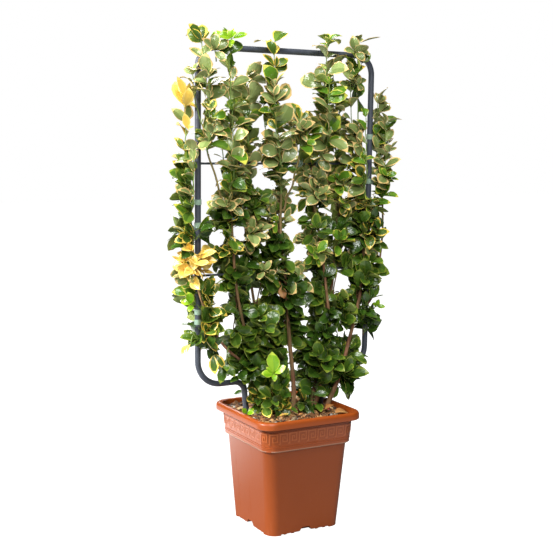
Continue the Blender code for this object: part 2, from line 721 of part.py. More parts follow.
def grow_wand(mass, line, space):
    """An upright wand with pairs of leaves all the way up."""
    tip, axis, _ = along(line, 1.0)
    foot = tip + axis * GAP
    place = foot + axis * WAND_FOOT
    mass.twig(foot, place + axis * TWIG_OVERLAP, *WAND_FOOT_TWIG, checked=False)
    low, high = Vector(space[0]), Vector(space[1])
    goal = Vector(((low.x + high.x) / 2, place.y, high.z - TUFT_ROOM))
    pairs = round((goal.z - place.z) / WAND_PAIR_SPACING)
    steps = max(2, round(pairs / PAIRS_PER_STRETCH))
    corners = [place, place + axis * WAND_LEAD, Vector((goal.x, goal.y, (place.z + goal.z) / 2)), goal]
    points = [bezier(corners, step / steps) for step in range(steps + 1)]
    turn = mass.draw.uniform(0, math.pi)
    foot_share, tip_share = WAND_TWIG
    for number, (start, end) in enumerate(zip(points, points[1:])):
        thick = foot_share + (tip_share - foot_share) * number / steps
        direction = (end - start).normalized()
        back = TWIG_OVERLAP if number else 0.0
        mass.twig(start - direction * back, end, thick, thick * TWIG_TAPER, checked=False)
    for number in range(pairs):
        t = (number + 1) / pairs
        here = bezier(corners, t)
        direction = (here - bezier(corners, t - WAND_LOOK_BACK)).normalized()
        turn += math.pi / 2 + mass.draw.gauss(0, WAND_TURN_SPREAD)
        mass.pair(here - direction * LEAF_ROOT, direction, turn, WAND_LIFT, 1.0 - WAND_SHRINK * t)
    mass.pair(goal - direction * LEAF_ROOT, direction, turn + math.pi / 2, WAND_TIP_LIFT, WAND_TIP_SIZE)


def grow_bush(mass, line, space):
    """A stem beside its limb that forks up and down, with side shoots all round, each ending in a tuft."""
    foot, knee, out = side_start(mass, line, space)
    low, high = Vector(space[0]), Vector(space[1])
    draw = mass.draw
    mass.twig(foot, knee + out * TWIG_OVERLAP, *BUSH_FOOT_TWIG, checked=False)
    forks = []
    for goal_z in (high.z - TUFT_ROOM, low.z + TUFT_ROOM):
        goal = Vector(((knee.x + middle_of(space).x) / 2, knee.y, goal_z))
        for attempt in range(3 * TRIES):
            if mass.twig(knee, goal, *FORK_TWIG):
                forks.append(goal)
                break
            share = 0.5 - FORK_SPREAD_STEP * attempt
            goal = Vector((
                low.x + (high.x - low.x) * draw.uniform(share, 1 - share),
                low.y + (high.y - low.y) * draw.uniform(share, 1 - share),
                goal_z + (knee.z - goal_z) * FORK_DROP_STEP * attempt,
            ))
    forks = forks or [knee]
    for end in forks:
        axis = end - knee
        if axis.length > 0 and axis.z > 0:
            axis.normalize()
            turn = draw.uniform(0, math.pi)
            for number, (lift, size) in enumerate(TUFT_PAIRS):
                mass.pair(end - axis * LEAF_ROOT, axis, turn + number * math.pi / 2, lift, size)
    first, span = ROOT_SPAN
    for number in range(BUSH_SHOOTS):
        angle = number * GOLDEN_ANGLE + draw.gauss(0, ANGLE_SPREAD)
        end = forks[number % len(forks)]
        root = knee.lerp(end, first + span * (number + 0.5) / BUSH_SHOOTS)
        reach = Vector((math.cos(angle) * (high.x - low.x), math.sin(angle) * (high.y - low.y), 0))
        mass.shoot(root, reach.normalized(), draw.uniform(*SHOOT_LENGTH))


def build_foliage(parts, lines, finish):
    frame = [(line, [frame_radius(name)] * len(line)) for name, line in frame_lines().items()]
    obstacles = stretches(frame + list(lines.values()))
    for seed, (name, (host, *space)) in enumerate({**WANDS, **BUSHES}.items()):
        mass = Mass(name, space, WAND_LEAF if name in WANDS else BUSH_LEAF, obstacles, SEED + seed)
        if name in WANDS:
            grow_wand(mass, lines[host], space)
        else:
            grow_bush(mass, lines[host], space)
        made = mass.finish(finish)
        bpy.context.scene.collection.objects.unlink(made)
        parts.objects.link(made)
        print(name, "leaves", len(mass.leaves), "faces", len(made.data.polygons))


def main():
    clear_scene()
    parts = new_collection("potted_spindle")
    plastic = material("terracotta_plastic", (0.45, 0.13, 0.05), 0.42)
    compost = material("bark_compost", (0.22, 0.13, 0.07), 0.95)
    coated = material("coated_steel", (0.03, 0.033, 0.038), 0.45, 0.1)
    bark = material("bark", (0.17, 0.10, 0.06), 0.85)
    green = material("leaf", (0.10, 0.22, 0.05), 0.5)
    build_pot(parts, plastic)
    build_soil(parts, compost)
    build_frame(parts, coated)
    lines = limb_lines()
    build_limbs(parts, lines, bark)
    build_foliage(parts, lines, green)


main()
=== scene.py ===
# Golden-edged Japanese spindle, trained flat on a bent tube, in a square terracotta-coloured pot.
# The looks of the plant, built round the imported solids. Metres, +Z up, -Y is the front.
import math
import random

import bpy
import numpy as np
from mathutils import Matrix, Vector, noise


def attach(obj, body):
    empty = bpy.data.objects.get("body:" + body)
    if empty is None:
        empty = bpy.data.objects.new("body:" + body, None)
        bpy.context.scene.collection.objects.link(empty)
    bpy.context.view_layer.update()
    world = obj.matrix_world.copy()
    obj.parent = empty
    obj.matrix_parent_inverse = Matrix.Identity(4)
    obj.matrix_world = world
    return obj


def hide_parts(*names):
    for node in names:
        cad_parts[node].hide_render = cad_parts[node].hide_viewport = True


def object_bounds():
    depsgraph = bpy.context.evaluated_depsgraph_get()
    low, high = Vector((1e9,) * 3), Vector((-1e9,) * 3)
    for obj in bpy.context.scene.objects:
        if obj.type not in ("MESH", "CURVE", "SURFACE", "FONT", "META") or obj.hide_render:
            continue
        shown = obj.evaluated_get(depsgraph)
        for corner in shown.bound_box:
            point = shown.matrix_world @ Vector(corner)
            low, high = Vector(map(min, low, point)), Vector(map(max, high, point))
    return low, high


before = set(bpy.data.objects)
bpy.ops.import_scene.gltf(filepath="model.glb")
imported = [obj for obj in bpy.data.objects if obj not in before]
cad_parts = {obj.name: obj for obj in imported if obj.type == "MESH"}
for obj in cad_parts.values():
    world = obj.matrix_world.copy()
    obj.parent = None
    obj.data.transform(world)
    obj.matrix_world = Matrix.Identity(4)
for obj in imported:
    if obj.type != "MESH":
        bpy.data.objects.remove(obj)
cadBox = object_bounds()
up = Vector((0, 0, 1))


# Camera, as the photograph was taken
cameraSettings = {
    "place": (-1.3684, -2.3528, 0.9847),
    "turn": -0.5049,  # radians from +Y
    "down": 0.1587,
    "roll": 0.0103,
    "lens": 69.2,
    "shift": (0.0209, 0.0707),
}


def addCamera():
    turn, down, roll = (cameraSettings[key] for key in ("turn", "down", "roll"))
    ahead = Vector((-math.sin(turn), math.cos(turn), 0))
    right = Vector((math.cos(turn), math.sin(turn), 0))
    look = ahead * math.cos(down) - up * math.sin(down)
    top = ahead * math.sin(down) + up * math.cos(down)
    across = right * math.cos(roll) + top * math.sin(roll)
    top = top * math.cos(roll) - right * math.sin(roll)
    bpy.ops.object.camera_add()
    camera = bpy.context.object
    camera.matrix_world = Matrix.Translation(cameraSettings["place"]) @ Matrix(
        (across, top, -look)).transposed().to_4x4()
    camera.data.lens = cameraSettings["lens"]
    camera.data.shift_x, camera.data.shift_y = cameraSettings["shift"]
    bpy.context.scene.camera = camera


# Stage: a pale floor, a bright room and soft lights
stageSettings = {
    "floorSize": 30.0,
    "floorTint": (0.26, 0.26, 0.26),
    "floorGlow": (1.0, 1.0, 1.0),  # only as the picture shows it
    # glowing patches on the floor, unseen by the camera: hidden lamps that light the plant and give the pot
    # its sheen and rim highlight. Middle, reach and strength
    "glowSpots": [((-0.46, 0.98), 0.90, 4.6), ((-1.10, -0.70), 0.42, 2.2), ((0.66, -0.75), 0.60, 1.5)],
    "roomTint": (1.0, 1.0, 1.0),
    "roomStrength": (0.045, 1.0),  # for the light it gives, and as the picture shows it
    # name: place, aim, size, watts
    "lights": {
        "keyLight": ((-3.1, 0.1, 2.3), (0.0, 0.0, 0.7), 1.4, 245.0),
        "frontLight": ((-1.4, -3.4, 2.6), (0.0, 0.0, 1.0), 0.9, 76.0),
        "topLight": ((-0.7, -1.6, 3.6), (0.0, 0.0, 0.7), 1.2, 88.0),
        "backLight": ((0.8, 3.2, 2.8), (0.0, 0.0, 0.7), 1.8, 85.0),
    },
}


def addStage():
    bpy.ops.mesh.primitive_plane_add(size=stageSettings["floorSize"], location=(0, 0, 0))
    floor = bpy.context.object
    floor.name = "paleFloor"
    finish = Finish("floorPaint", roughness=0.9, Emission_Strength=1.0)
    finish.colour(stageSettings["floorTint"])
    seen = finish.node("LightPath", {}, {}, "Is Camera Ray")
    # The floor glows in these patches for every ray but the camera's
    glow = 0.0
    for (x, y), reach, strength in stageSettings["glowSpots"]:
        gap = finish.node("VectorMath", {"operation": "DISTANCE"}, {0: finish.place(), 1: (x, y, 0.0)}, 1)
        glow = glow + finish.node("MapRange", {"interpolation_type": "SMOOTHSTEP"}, {
            "Value": gap, "From Min": reach, "From Max": 0.0, "To Max": strength})
    finish.set("Emission Color", finish.blend(seen, glow, stageSettings["floorGlow"]))
    floor.data.materials.append(finish.material)
    world = bpy.data.worlds.new("brightRoom")
    bpy.context.scene.world = world
    world.use_nodes = True
    background = world.node_tree.nodes["Background"]
    background.inputs["Color"].default_value = (*stageSettings["roomTint"], 1)
    given, shown = stageSettings["roomStrength"]
    path = world.node_tree.nodes.new("ShaderNodeLightPath")
    level = world.node_tree.nodes.new("ShaderNodeMapRange")
    level.inputs["To Min"].default_value, level.inputs["To Max"].default_value = given, shown
    world.node_tree.links.new(path.outputs["Is Camera Ray"], level.inputs["Value"])
    world.node_tree.links.new(level.outputs["Result"], background.inputs["Strength"])
    for name, (place, aim, size, watts) in stageSettings["lights"].items():
        bpy.ops.object.light_add(type="AREA", location=place)
        light = bpy.context.object
        light.name = name
        light.rotation_euler = (Vector(aim) - Vector(place)).to_track_quat("-Z", "Y").to_euler()
        light.data.shape, light.data.size, light.data.energy = "DISK", size, watts
    bpy.context.scene.view_settings.view_transform = "Standard"


# Finishes: shader maths as Python expressions
def tint(red, green, blue):
    parts = [part / 255 for part in (red, green, blue)]
    return tuple(p / 12.92 if p < 0.04045 else ((p + 0.055) / 1.055) ** 2.4 for p in parts)


class Wire:
    # One output socket that can be used in sums
    def __init__(self, finish, socket):
        self.finish, self.socket = finish, socket

    def sum(self, operation, first, second):
        return self.finish.node("Math", {"operation": operation}, {0: first, 1: second})

    def __add__(self, other):
        return self.sum("ADD", self, other)

    def __radd__(self, other):
        return self.sum("ADD", other, self)

    def __sub__(self, other):
        return self.sum("SUBTRACT", self, other)

    def __rsub__(self, other):
        return self.sum("SUBTRACT", other, self)

    def __mul__(self, other):
        return self.sum("MULTIPLY", self, other)

    def __rmul__(self, other):
        return self.sum("MULTIPLY", other, self)

    def above(self, level, softness):
        # 0 below the level and 1 above it, with a soft step
        return self.finish.node("MapRange", {"interpolation_type": "SMOOTHSTEP"}, {
            "Value": self, "From Min": level - softness, "From Max": level + softness})


class Finish:
    # One material, built on its Principled shader
    def __init__(self, name, roughness=0.5, metallic=0.0, **fixed):
        self.material = bpy.data.materials.new(name)
        self.material.use_nodes = True
        self.nodes, self.links = self.material.node_tree.nodes, self.material.node_tree.links
        self.shader = self.nodes["Principled BSDF"]
        self.set("Roughness", roughness)
        self.set("Metallic", metallic)
        for key, value in fixed.items():
            self.set(key.replace("_", " "), value)

    def set(self, name, value):
        self.join(self.shader.inputs[name], value)

    def join(self, socket, value):
        if isinstance(value, Wire):
            self.links.new(value.socket, socket)
        elif isinstance(value, tuple) and len(value) == 3 and socket.type == "RGBA":
            socket.default_value = (*value, 1)
        else:
            socket.default_value = value

    def node(self, kind, settings, values, output=0):
        made = self.nodes.new("ShaderNode" + kind)
        for key, value in settings.items():
            if key == "stops":
                while len(made.color_ramp.elements) < len(value):
                    made.color_ramp.elements.new(1.0)
                for stop, (place, colour) in zip(made.color_ramp.elements, value):
                    stop.position, stop.color = place, (*colour, 1)
            else:
                setattr(made, key, value)
        for key, value in values.items():
            self.join(made.inputs[key], value)
        return Wire(self, made.outputs[output])

    def place(self, stretch=(1, 1, 1)):
        where = self.node("TexCoord", {}, {}, "Object")
        return self.node("Mapping", {}, {"Vector": where, "Scale": stretch})

    def noise(self, scale, detail=3.0, rough=0.5, stretch=(1, 1, 1)):
        return self.node("TexNoise", {}, {
            "Vector": self.place(stretch), "Scale": scale, "Detail": detail, "Roughness": rough})

    def blend(self, share, first, second):
        return self.node("Mix", {"data_type": "RGBA"}, {"Factor": share, 6: first, 7: second}, 2)

    def colour(self, value):
        self.set("Base Color", value)

    def bump(self, height, distance, strength=1.0):
        made = self.node("Bump", {}, {"Height": height, "Distance": distance, "Strength": strength})
        self.set("Normal", made)


def deselectAll():
    for thing in list(bpy.context.selected_objects):
        thing.select_set(False)


def makeActive(piece):
    deselectAll()
    piece.select_set(True)
    bpy.context.view_layer.objects.active = piece


def switchTo(mode):
    bpy.ops.object.mode_set(mode=mode)


def applyModifier(piece, kind, **settings):
    makeActive(piece)
    made = piece.modifiers.new(kind.title(), kind)
    for key, value in settings.items():
        setattr(made, key, value)
    bpy.ops.object.modifier_apply(modifier=made.name)


def declare(piece, replaced):
    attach(piece, "root")
    if replaced:
        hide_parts(*replaced)
    return piece


def finishPiece(piece, name, finishes, replaced=(), smoothAngle=40):
    piece.name = name
    makeActive(piece)
    bpy.ops.object.transform_apply(location=True, rotation=True, scale=True)
    piece.data.name = name
    piece.data.materials.clear()
    for finish in finishes:
        piece.data.materials.append(finish.material)
    bpy.ops.object.shade_smooth_by_angle(angle=math.radians(smoothAngle))
    return declare(piece, replaced)


def selectFaces(piece, test):
    # In edit mode, selects only the faces whose middle and normal pass the test
    bpy.ops.mesh.select_all(action="DESELECT")
    switchTo("OBJECT")
    for face in piece.data.polygons:
        face.select = test(face.center, face.normal)
    switchTo("EDIT")


def joinPieces(pieces):
    deselectAll()
    for piece in pieces:
        piece.select_set(True)
    bpy.context.view_layer.objects.active = pieces[0]
    bpy.ops.object.join()
    return bpy.context.object


# Pot
potSize = {
    "baseHalf": 0.1056,
    "cornerRadius": 0.029,
    "cornerSteps": 8,
    "startHeight": 0.004,
    "wall": 0.003,
    # height and half width up the outside, over the rim and down the inside to the floor
    "profile": [
        (0.2238, 0.12186), (0.2252, 0.1226), (0.2284, 0.1284), (0.2293, 0.1293), (0.2312, 0.1296),
        (0.2318, 0.1292), (0.2384, 0.1296), (0.2391, 0.1305), (0.2399, 0.1297), (0.2432, 0.1299),
        (0.2439, 0.1308), (0.2447, 0.1300), (0.2799, 0.1321), (0.2806, 0.1330), (0.2814, 0.1322),
        (0.2844, 0.1324), (0.2851, 0.1333), (0.2859, 0.1325), (0.3050, 0.1338), (0.3056, 0.1452),
        (0.2912, 0.1456), (0.2908, 0.1478), (0.2918, 0.1486), (0.3020, 0.1485), (0.3050, 0.1480),
        (0.3074, 0.1469), (0.3090, 0.1453), (0.3098, 0.1434), (0.3100, 0.1412), (0.3100, 0.1386),
        (0.3090, 0.1358), (0.3030, 0.1326), (0.2900, 0.1299), (0.2290, 0.1262), (0.2240, 0.1189),
        (0.0190, 0.1042),
    ],
    # the ridge under the band takes a paler, greyer copy of the plastic: a painted reflection of the floor
    "lip": (0.2282, 0.2320),  # heights of the pale ridge under the band
    "footHeight": 0.003,
    "footReach": 0.034,
    "padRadius": 0.022,
    "padSides": 32,
    "lugs": (0.036, 0.058),
    "lugSize": (0.008, 0.004),
    "notch": {"foot": 0.042, "top": 0.022, "height": 0.013, "depth": 0.014},
}
plasticTints = {
    "terracottaPlastic": ((148, 66, 16), (156, 73, 20)),
    # painted highlight: a lighter copy of the body's plastic for the raised key pattern
    "terracottaPaintedHighlight": ((172, 88, 40), (180, 95, 44)),
    # painted reflection: a paler, greyer copy of the plastic for the ridge under the band, standing for the
    # floor's reflection
    "terracottaPaintedReflection": ((156, 112, 88), (164, 118, 94)),
}


def terracottaPlastic(name):
    finish = Finish(name, roughness=0.4, Specular_IOR_Level=0.46)
    cloud = finish.noise(6.0, 4.0)
    speck = finish.noise(140.0, 2.0)
    scuff = finish.noise(26.0, 6.0, 0.7, (1, 1, 0.25))
    body = finish.blend(cloud, *(tint(*colour) for colour in plasticTints[name]))
    dusty = finish.blend(scuff.above(0.68, 0.05) * 0.2, body, tint(190, 112, 78))
    finish.colour(finish.blend(speck.above(0.72, 0.04) * 0.2, dusty, tint(140, 60, 32)))
    finish.set("Roughness", 0.34 + cloud * 0.08 + scuff.above(0.62, 0.08) * 0.14)
    finish.bump(finish.noise(520.0, 2.0) * 0.4 + finish.noise(60.0, 2.0) * 0.6, 0.00035, 0.35)
    return finish


def addBox(low, high):
    middle = [(a + b) / 2 for a, b in zip(low, high)]
    bpy.ops.mesh.primitive_cube_add(size=1, location=middle, scale=[b - a for a, b in zip(low, high)])
    bpy.ops.object.transform_apply(location=True, rotation=True, scale=True)
    return bpy.context.object


def turned(piece, angle):
    piece.data.transform(Matrix.Rotation(angle, 4, "Z"))
    return piece


def booleanWith(piece, others, operation):
    tools = joinPieces(others) if len(others) > 1 else others[0]
    applyModifier(piece, "BOOLEAN", operation=operation, object=tools, solver="EXACT", use_self=True)
    bpy.data.objects.remove(tools, do_unlink=True)


def roundedStack(half, radius, low, high, profile):
    # A block with round corners whose top face is drawn up through a profile of heights and half widths
    stack = addBox((-half, -half, low), (half, half, high))
    switchTo("EDIT")
    bpy.ops.mesh.select_mode(type="EDGE")
    bpy.ops.mesh.select_all(action="DESELECT")
    switchTo("OBJECT")
    for edge in stack.data.edges:
        ends = [stack.data.vertices[i].co for i in edge.vertices]
        edge.select = abs(ends[0].z - ends[1].z) > (high - low) / 2
    switchTo("EDIT")
    bpy.ops.mesh.bevel(offset=radius, segments=potSize["cornerSteps"], affect="EDGES")
    bpy.ops.mesh.select_mode(type="FACE")
    selectFaces(stack, lambda middle, normal: normal.z > 0.9)
    height = high
    for nextHeight, nextHalf in profile:
        bpy.ops.mesh.extrude_region_move(TRANSFORM_OT_translate={"value": (0, 0, nextHeight - height)})
        ratio = nextHalf / half
        bpy.ops.transform.resize(value=(ratio, ratio, 1), center_override=(0, 0, 0))
        half, height = nextHalf, nextHeight
    switchTo("OBJECT")
    return stack


def addPot(plastic, edge):
    base, wall, lift = potSize["baseHalf"], potSize["wall"], potSize["footHeight"]
    far, reach, notch = base + wall, base - potSize["footReach"], potSize["notch"]
    pot = roundedStack(base, potSize["cornerRadius"], 0, potSize["startHeight"], potSize["profile"])
    cutters = [
        addBox((-far, -reach, -wall), (far, reach, lift)),
        addBox((-reach, -far, -wall), (reach, far, lift)),
    ]
    for side in range(4):
        cutter = addBox((-0.5, base - notch["depth"], -wall), (0.5, far, notch["height"]))
        for vertex in cutter.data.vertices:
            vertex.co.x *= notch["top"] if vertex.co.z > 0 else notch["foot"]
        cutters.append(turned(cutter, side * math.pi / 2))
    booleanWith(pot, cutters, "DIFFERENCE")

    bpy.ops.mesh.primitive_cylinder_add(
        vertices=potSize["padSides"], radius=potSize["padRadius"], depth=2 * lift, location=(0, 0, lift))
    feet = [bpy.context.object]
    width, depth = potSize["lugSize"]
    for side in range(4):
        for place in potSize["lugs"]:
            for way in (-1, 1):
                low = (way * place - width / 2, base - 2 * wall - depth, 0)
                lug = addBox(low, (way * place + width / 2, base - wall, 2 * lift))
                feet.append(turned(lug, side * math.pi / 2))
    booleanWith(pot, feet, "UNION")
    finishPiece(pot, "potShell", [plastic, edge], ["pot"], smoothAngle=32)
    # The ridge under the band gets the second finish, a painted reflection of the floor
    low, high = potSize["lip"]
    for face in pot.data.polygons:
        outside = max(abs(face.center.x), abs(face.center.y)) > potSize["profile"][1][1]
        face.material_index = int(low < face.center.z < high and outside)


# Key pattern: raised strokes round the band under the rim, laid out on small square cells, painted lighter
# as a painted highlight
keyBand = {
    "units": 36,
    "cellsPerUnit": 18,
    "rows": 19,
    "bottom": 0.2490,
    "top": 0.2775,
    "relief": 0.00032,
    "sunk": 0.0004,
    "halfWidths": ((0.2293, 0.1293), (0.3050, 0.1338)),
    "cornerShare": 0.255,  # corner radius over half width
    # strokes of one unit, as first and last column and row
    "strokes": [(1, 2, 0, 18), (1, 15, 17, 18), (14, 15, 4, 18), (6, 15, 4, 5), (6, 7, 4, 13),
                (6, 11, 12, 13), (10, 11, 9, 13), (0, 0, 0, 1), (17, 17, 0, 1)],
}


def bandHalf(z):
    (lowZ, lowHalf), (highZ, highHalf) = keyBand["halfWidths"]
    return lowHalf + (highHalf - lowHalf) * (z - lowZ) / (highZ - lowZ)


def roundBand(share, z, out):
    # A point of the band at a share of the way round, moved out from its face
    half = bandHalf(z)
    radius = half * keyBand["cornerShare"]
    straight, arc = 2 * (half - radius), radius * math.pi / 2
    quarter, rest = divmod(share * 4, 1)
    run = (rest - 0.5) * (straight + arc)
    if abs(run) <= straight / 2:
        place = Vector((run, -half - out, z))
    else:
        angle = (abs(run) - straight / 2) / radius
        side = math.copysign(1, run)
        place = Vector((side * (straight / 2 + (radius + out) * math.sin(angle)),
                        -(half - radius) - (radius + out) * math.cos(angle), z))
    place.rotate(Matrix.Rotation(quarter * math.pi / 2, 3, "Z"))
    return place


def addKeyBand(plastic):
    columns, rows = keyBand["units"] * keyBand["cellsPerUnit"], keyBand["rows"]
    raised = {(column % keyBand["cellsPerUnit"], row)
              for first, last, low, high in keyBand["strokes"]
              for column in range(first, last + 1) for row in range(low, high + 1)}
    bpy.ops.mesh.primitive_grid_add(x_subdivisions=columns, y_subdivisions=rows, size=1)
    band = bpy.context.object
    switchTo("EDIT")
    bpy.ops.mesh.select_mode(type="FACE")

    def isFlat(middle, normal):
        column, row = int((middle.x + 0.5) * columns), int((middle.y + 0.5) * rows)
        return (column % keyBand["cellsPerUnit"], row) not in raised

    selectFaces(band, isFlat)
    bpy.ops.mesh.delete(type="FACE")
    bpy.ops.mesh.select_all(action="SELECT")
    bpy.ops.mesh.extrude_region_move(TRANSFORM_OT_translate={"value": (0, 0, 1)})
    bpy.ops.mesh.select_all(action="SELECT")
    bpy.ops.mesh.normals_make_consistent(inside=False)
    switchTo("OBJECT")
    for vertex in band.data.vertices:
        share, high = vertex.co.x + 0.5, vertex.co.y + 0.5
        z = keyBand["bottom"] + (keyBand["top"] - keyBand["bottom"]) * high
        vertex.co = roundBand(share % 1.0, z, keyBand["relief"] if vertex.co.z > 0.5 else -keyBand["sunk"])
    # the finish given here is the lighter copy of the plastic: a painted highlight on the strokes
    finishPiece(band, "potKeyPattern", [plastic], smoothAngle=20)


# Bark mulch: a rough bed, chips, pebbles and fallen leaves
mulch = {
    "bedHalf": 0.1296,
    "edgeZ": 0.292,
    "topZ": 0.298,
    "levelShare": 0.8,
    "waves": ((0.0022, 70), (0.0012, 190)),  # height and closeness of the bed's lumps
    "lumpDepth": 0.012,  # how far down from the top they show
    "startZ": (0.0194, 0.030),
    "floorHalf": 0.1038,
    "cornerRadius": 0.026,
    "profile": [(0.2236, 0.1186), (0.2288, 0.1258), (0.2890, 0.1296), (0.2970, 0.1296)],
    "voxel": 0.0055,
    "wallGap": 0.006,  # chips and pebbles lie this far in from the bed's edge
    "chips": 1500,
    "chipSize": (0.0070, 0.0300),
    "chipSkew": 2.2,  # above 1, more small chips
    "chipCorner": (0.098, 0.027),  # straight part and radius of the corners that hold chips
    "chipTilt": {"Y": 0.35, "X": 0.45},
    "chipLift": 0.0035,
    "pebbles": 90,
    "pebbleSize": (0.0025, 0.0055),
    "pebbleSpread": (0.112, 0.012),  # along a side and away from it
    "pebbleShape": ((0.8, 1.4), (0.7, 1.1), (0.7, 1.0)),
    "pebbleLift": 0.0022,
    "seed": 7,
}
chipShape = {
    "kinds": 9,
    "width": (0.32, 0.62),
    "thick": (0.12, 0.24),
    "bow": 0.25,
    "taper": (0.15, 0.60),
    "jitter": ((0.85, 1.10), (0.75, 1.20), (0.60, 1.30)),
}
chipTints = {  # colour, and share of the chips
    "chipTan": ((176, 132, 82), 26), "chipBrown": ((120, 82, 46), 30), "chipDark": ((62, 40, 24), 24),
    "chipPale": ((208, 178, 132), 8), "chipRust": ((146, 94, 52), 12), "chipGrey": ((144, 124, 94), 8),
}
pebbleTints = {
    "pebbleGrey": (150, 144, 134), "pebblePale": (206, 198, 182), "pebbleBrown": (128, 104, 80),
}


def bedHeight(x, y):
    reach = max(abs(x), abs(y)) / mulch["bedHalf"]
    share = max(0.0, min(1.0, (reach - mulch["levelShare"]) / (1 - mulch["levelShare"])))
    height = mulch["topZ"] + (mulch["edgeZ"] - mulch["topZ"]) * share
    for layer, (size, closeness) in zip((0, 3), mulch["waves"]):
        height += size * noise.noise(Vector((x, y, layer)) * closeness)
    return height


def compostDark():
    finish = Finish("compostDark", roughness=0.95)
    crumb = finish.noise(180.0, 5.0, 0.65)
    finish.colour(finish.node("ValToRGB", {"stops": [
        (0.32, tint(26, 17, 10)), (0.5, tint(62, 40, 24)), (0.68, tint(112, 78, 46))]}, {"Fac": crumb}))
    finish.bump(crumb, 0.002, 0.9)
    return finish


def plainFinish(name, colour, roughness, grain, stretch=(1, 1, 1)):
    finish = Finish(name, roughness=roughness)
    finish.colour(tint(*colour))
    finish.bump(finish.noise(grain, 3.0, 0.6, stretch), 0.0004, 0.7)
    return finish


def chipTemplates(draw):
    # Small splintered blocks: a cube cut in two each way, pulled out of true and bowed
    made = []
    for number in range(chipShape["kinds"]):
        bpy.ops.mesh.primitive_cube_add(size=1)
        chip = bpy.context.object
        switchTo("EDIT")
        bpy.ops.mesh.subdivide(number_cuts=1)
        switchTo("OBJECT")
        width, thick = (draw.uniform(*chipShape[key]) for key in ("width", "thick"))
        bow = draw.uniform(-chipShape["bow"], chipShape["bow"])
        for vertex in chip.data.vertices:
            x, y, z = vertex.co
            end = 1 - draw.uniform(*chipShape["taper"]) * (abs(x) > 0.3)
            ahead, across, over = (draw.uniform(*span) for span in chipShape["jitter"])
            vertex.co = (x * ahead, width * y * end * across, thick * z * over + bow * x * x)
        made.append(arraysOf(chip))
    return made


def arraysOf(piece):
    # A finished template as arrays: corners, faces, material numbers and UVs. The piece itself goes
    mesh = piece.data

    def read(items, key, kind, each=1):
        values = np.zeros(len(items) * each, dtype=kind)
        items.foreach_get(key, values)
        return values

    made = {
        "points": read(mesh.vertices, "co", float, 3).reshape(-1, 3),
        "corners": read(mesh.loops, "vertex_index", np.int64),
        "totals": read(mesh.polygons, "loop_total", np.int64),
        "slots": read(mesh.polygons, "material_index", np.int64),
        "places": read(mesh.uv_layers.active.data, "uv", float, 2).reshape(-1, 2),
    }
    bpy.data.objects.remove(piece, do_unlink=True)
    return made


def joinedMesh(name, blocks, finishes, replaced=(), smooth=True):
    # Many small shapes as one mesh. Each block is a template's arrays with its points already in place
    def gathered(key):
        return np.concatenate([block[key] for block in blocks])

    points, totals, slots = (gathered(key) for key in ("points", "totals", "slots"))
    starts = np.cumsum([0] + [len(block["points"]) for block in blocks[:-1]])
    corners = np.concatenate([block["corners"] + start for block, start in zip(blocks, starts)])
    mesh = bpy.data.meshes.new(name)
    mesh.vertices.add(len(points))
    mesh.vertices.foreach_set("co", points.ravel())
    mesh.loops.add(len(corners))
    mesh.loops.foreach_set("vertex_index", corners)
    mesh.polygons.add(len(totals))
    mesh.polygons.foreach_set("loop_start", np.concatenate([[0], np.cumsum(totals)[:-1]]))
    mesh.polygons.foreach_set("loop_total", totals)
    if "places" in blocks[0]:
        mesh.uv_layers.new(name="blade").data.foreach_set("uv", gathered("places").ravel())
    used = sorted(set(slots.tolist()))
    for number in used:
        mesh.materials.append(finishes[number].material)
    mesh.polygons.foreach_set("material_index", np.searchsorted(used, slots))
    mesh.polygons.foreach_set("use_smooth", [smooth] * len(totals))
    mesh.update(calc_edges=True)
    mesh.validate()
    mesh.set_sharp_from_angle(angle=math.radians(75))
    piece = bpy.data.objects.new(name, mesh)
    bpy.context.scene.collection.objects.link(piece)
    declare(piece, replaced)
    print(name, "triangles", int((totals - 2).sum()))


def placed(template, place, axes, size, slot):
    # One copy of a template, with its material numbers counted on from slot
    turn = np.array(axes) * size
    points = template["points"] @ turn.T + np.array(place)
    return {**template, "points": points, "slots": template["slots"] + slot}


def addBed():
    low, high = mulch["startZ"]
    bed = roundedStack(mulch["floorHalf"], mulch["cornerRadius"], low, high, mulch["profile"])
    applyModifier(bed, "REMESH", mode="VOXEL", voxel_size=mulch["voxel"])
    top = mulch["topZ"]
    for vertex in bed.data.vertices:
        x, y, z = vertex.co
        if z > top - mulch["lumpDepth"]:
            vertex.co.z = min(z, top) + bedHeight(x, y) - top
    finishPiece(bed, "barkBed", [compostDark()], ["soil"], smoothAngle=80)


def addChips(draw, half):
    finishes = [plainFinish(name, colour, 0.9, 700.0, (0.3, 1, 1))
                for name, (colour, _) in chipTints.items()]
    shares = [share for _, share in chipTints.values()]
    templates = chipTemplates(draw)
    straight, corner = mulch["chipCorner"]
    small, large = mulch["chipSize"]
    blocks = []
    for number in range(mulch["chips"]):
        x, y = draw.uniform(-half, half), draw.uniform(-half, half)
        if math.hypot(max(abs(x) - straight, 0), max(abs(y) - straight, 0)) > corner:
            continue
        size = small + (large - small) * draw.random() ** mulch["chipSkew"]
        turn = Matrix.Rotation(draw.uniform(0, math.tau), 3, "Z")
        for axis, tilt in mulch["chipTilt"].items():
            turn = turn @ Matrix.Rotation(draw.gauss(0, tilt), 3, axis)
        template = draw.choice(templates)
        kind = draw.choices(range(len(finishes)), shares)[0]
        place = (x, y, bedHeight(x, y) + draw.uniform(0.0, mulch["chipLift"]))
        blocks.append(placed(template, place, turn, size, kind))
    joinedMesh("barkChips", blocks, finishes, smooth=False)


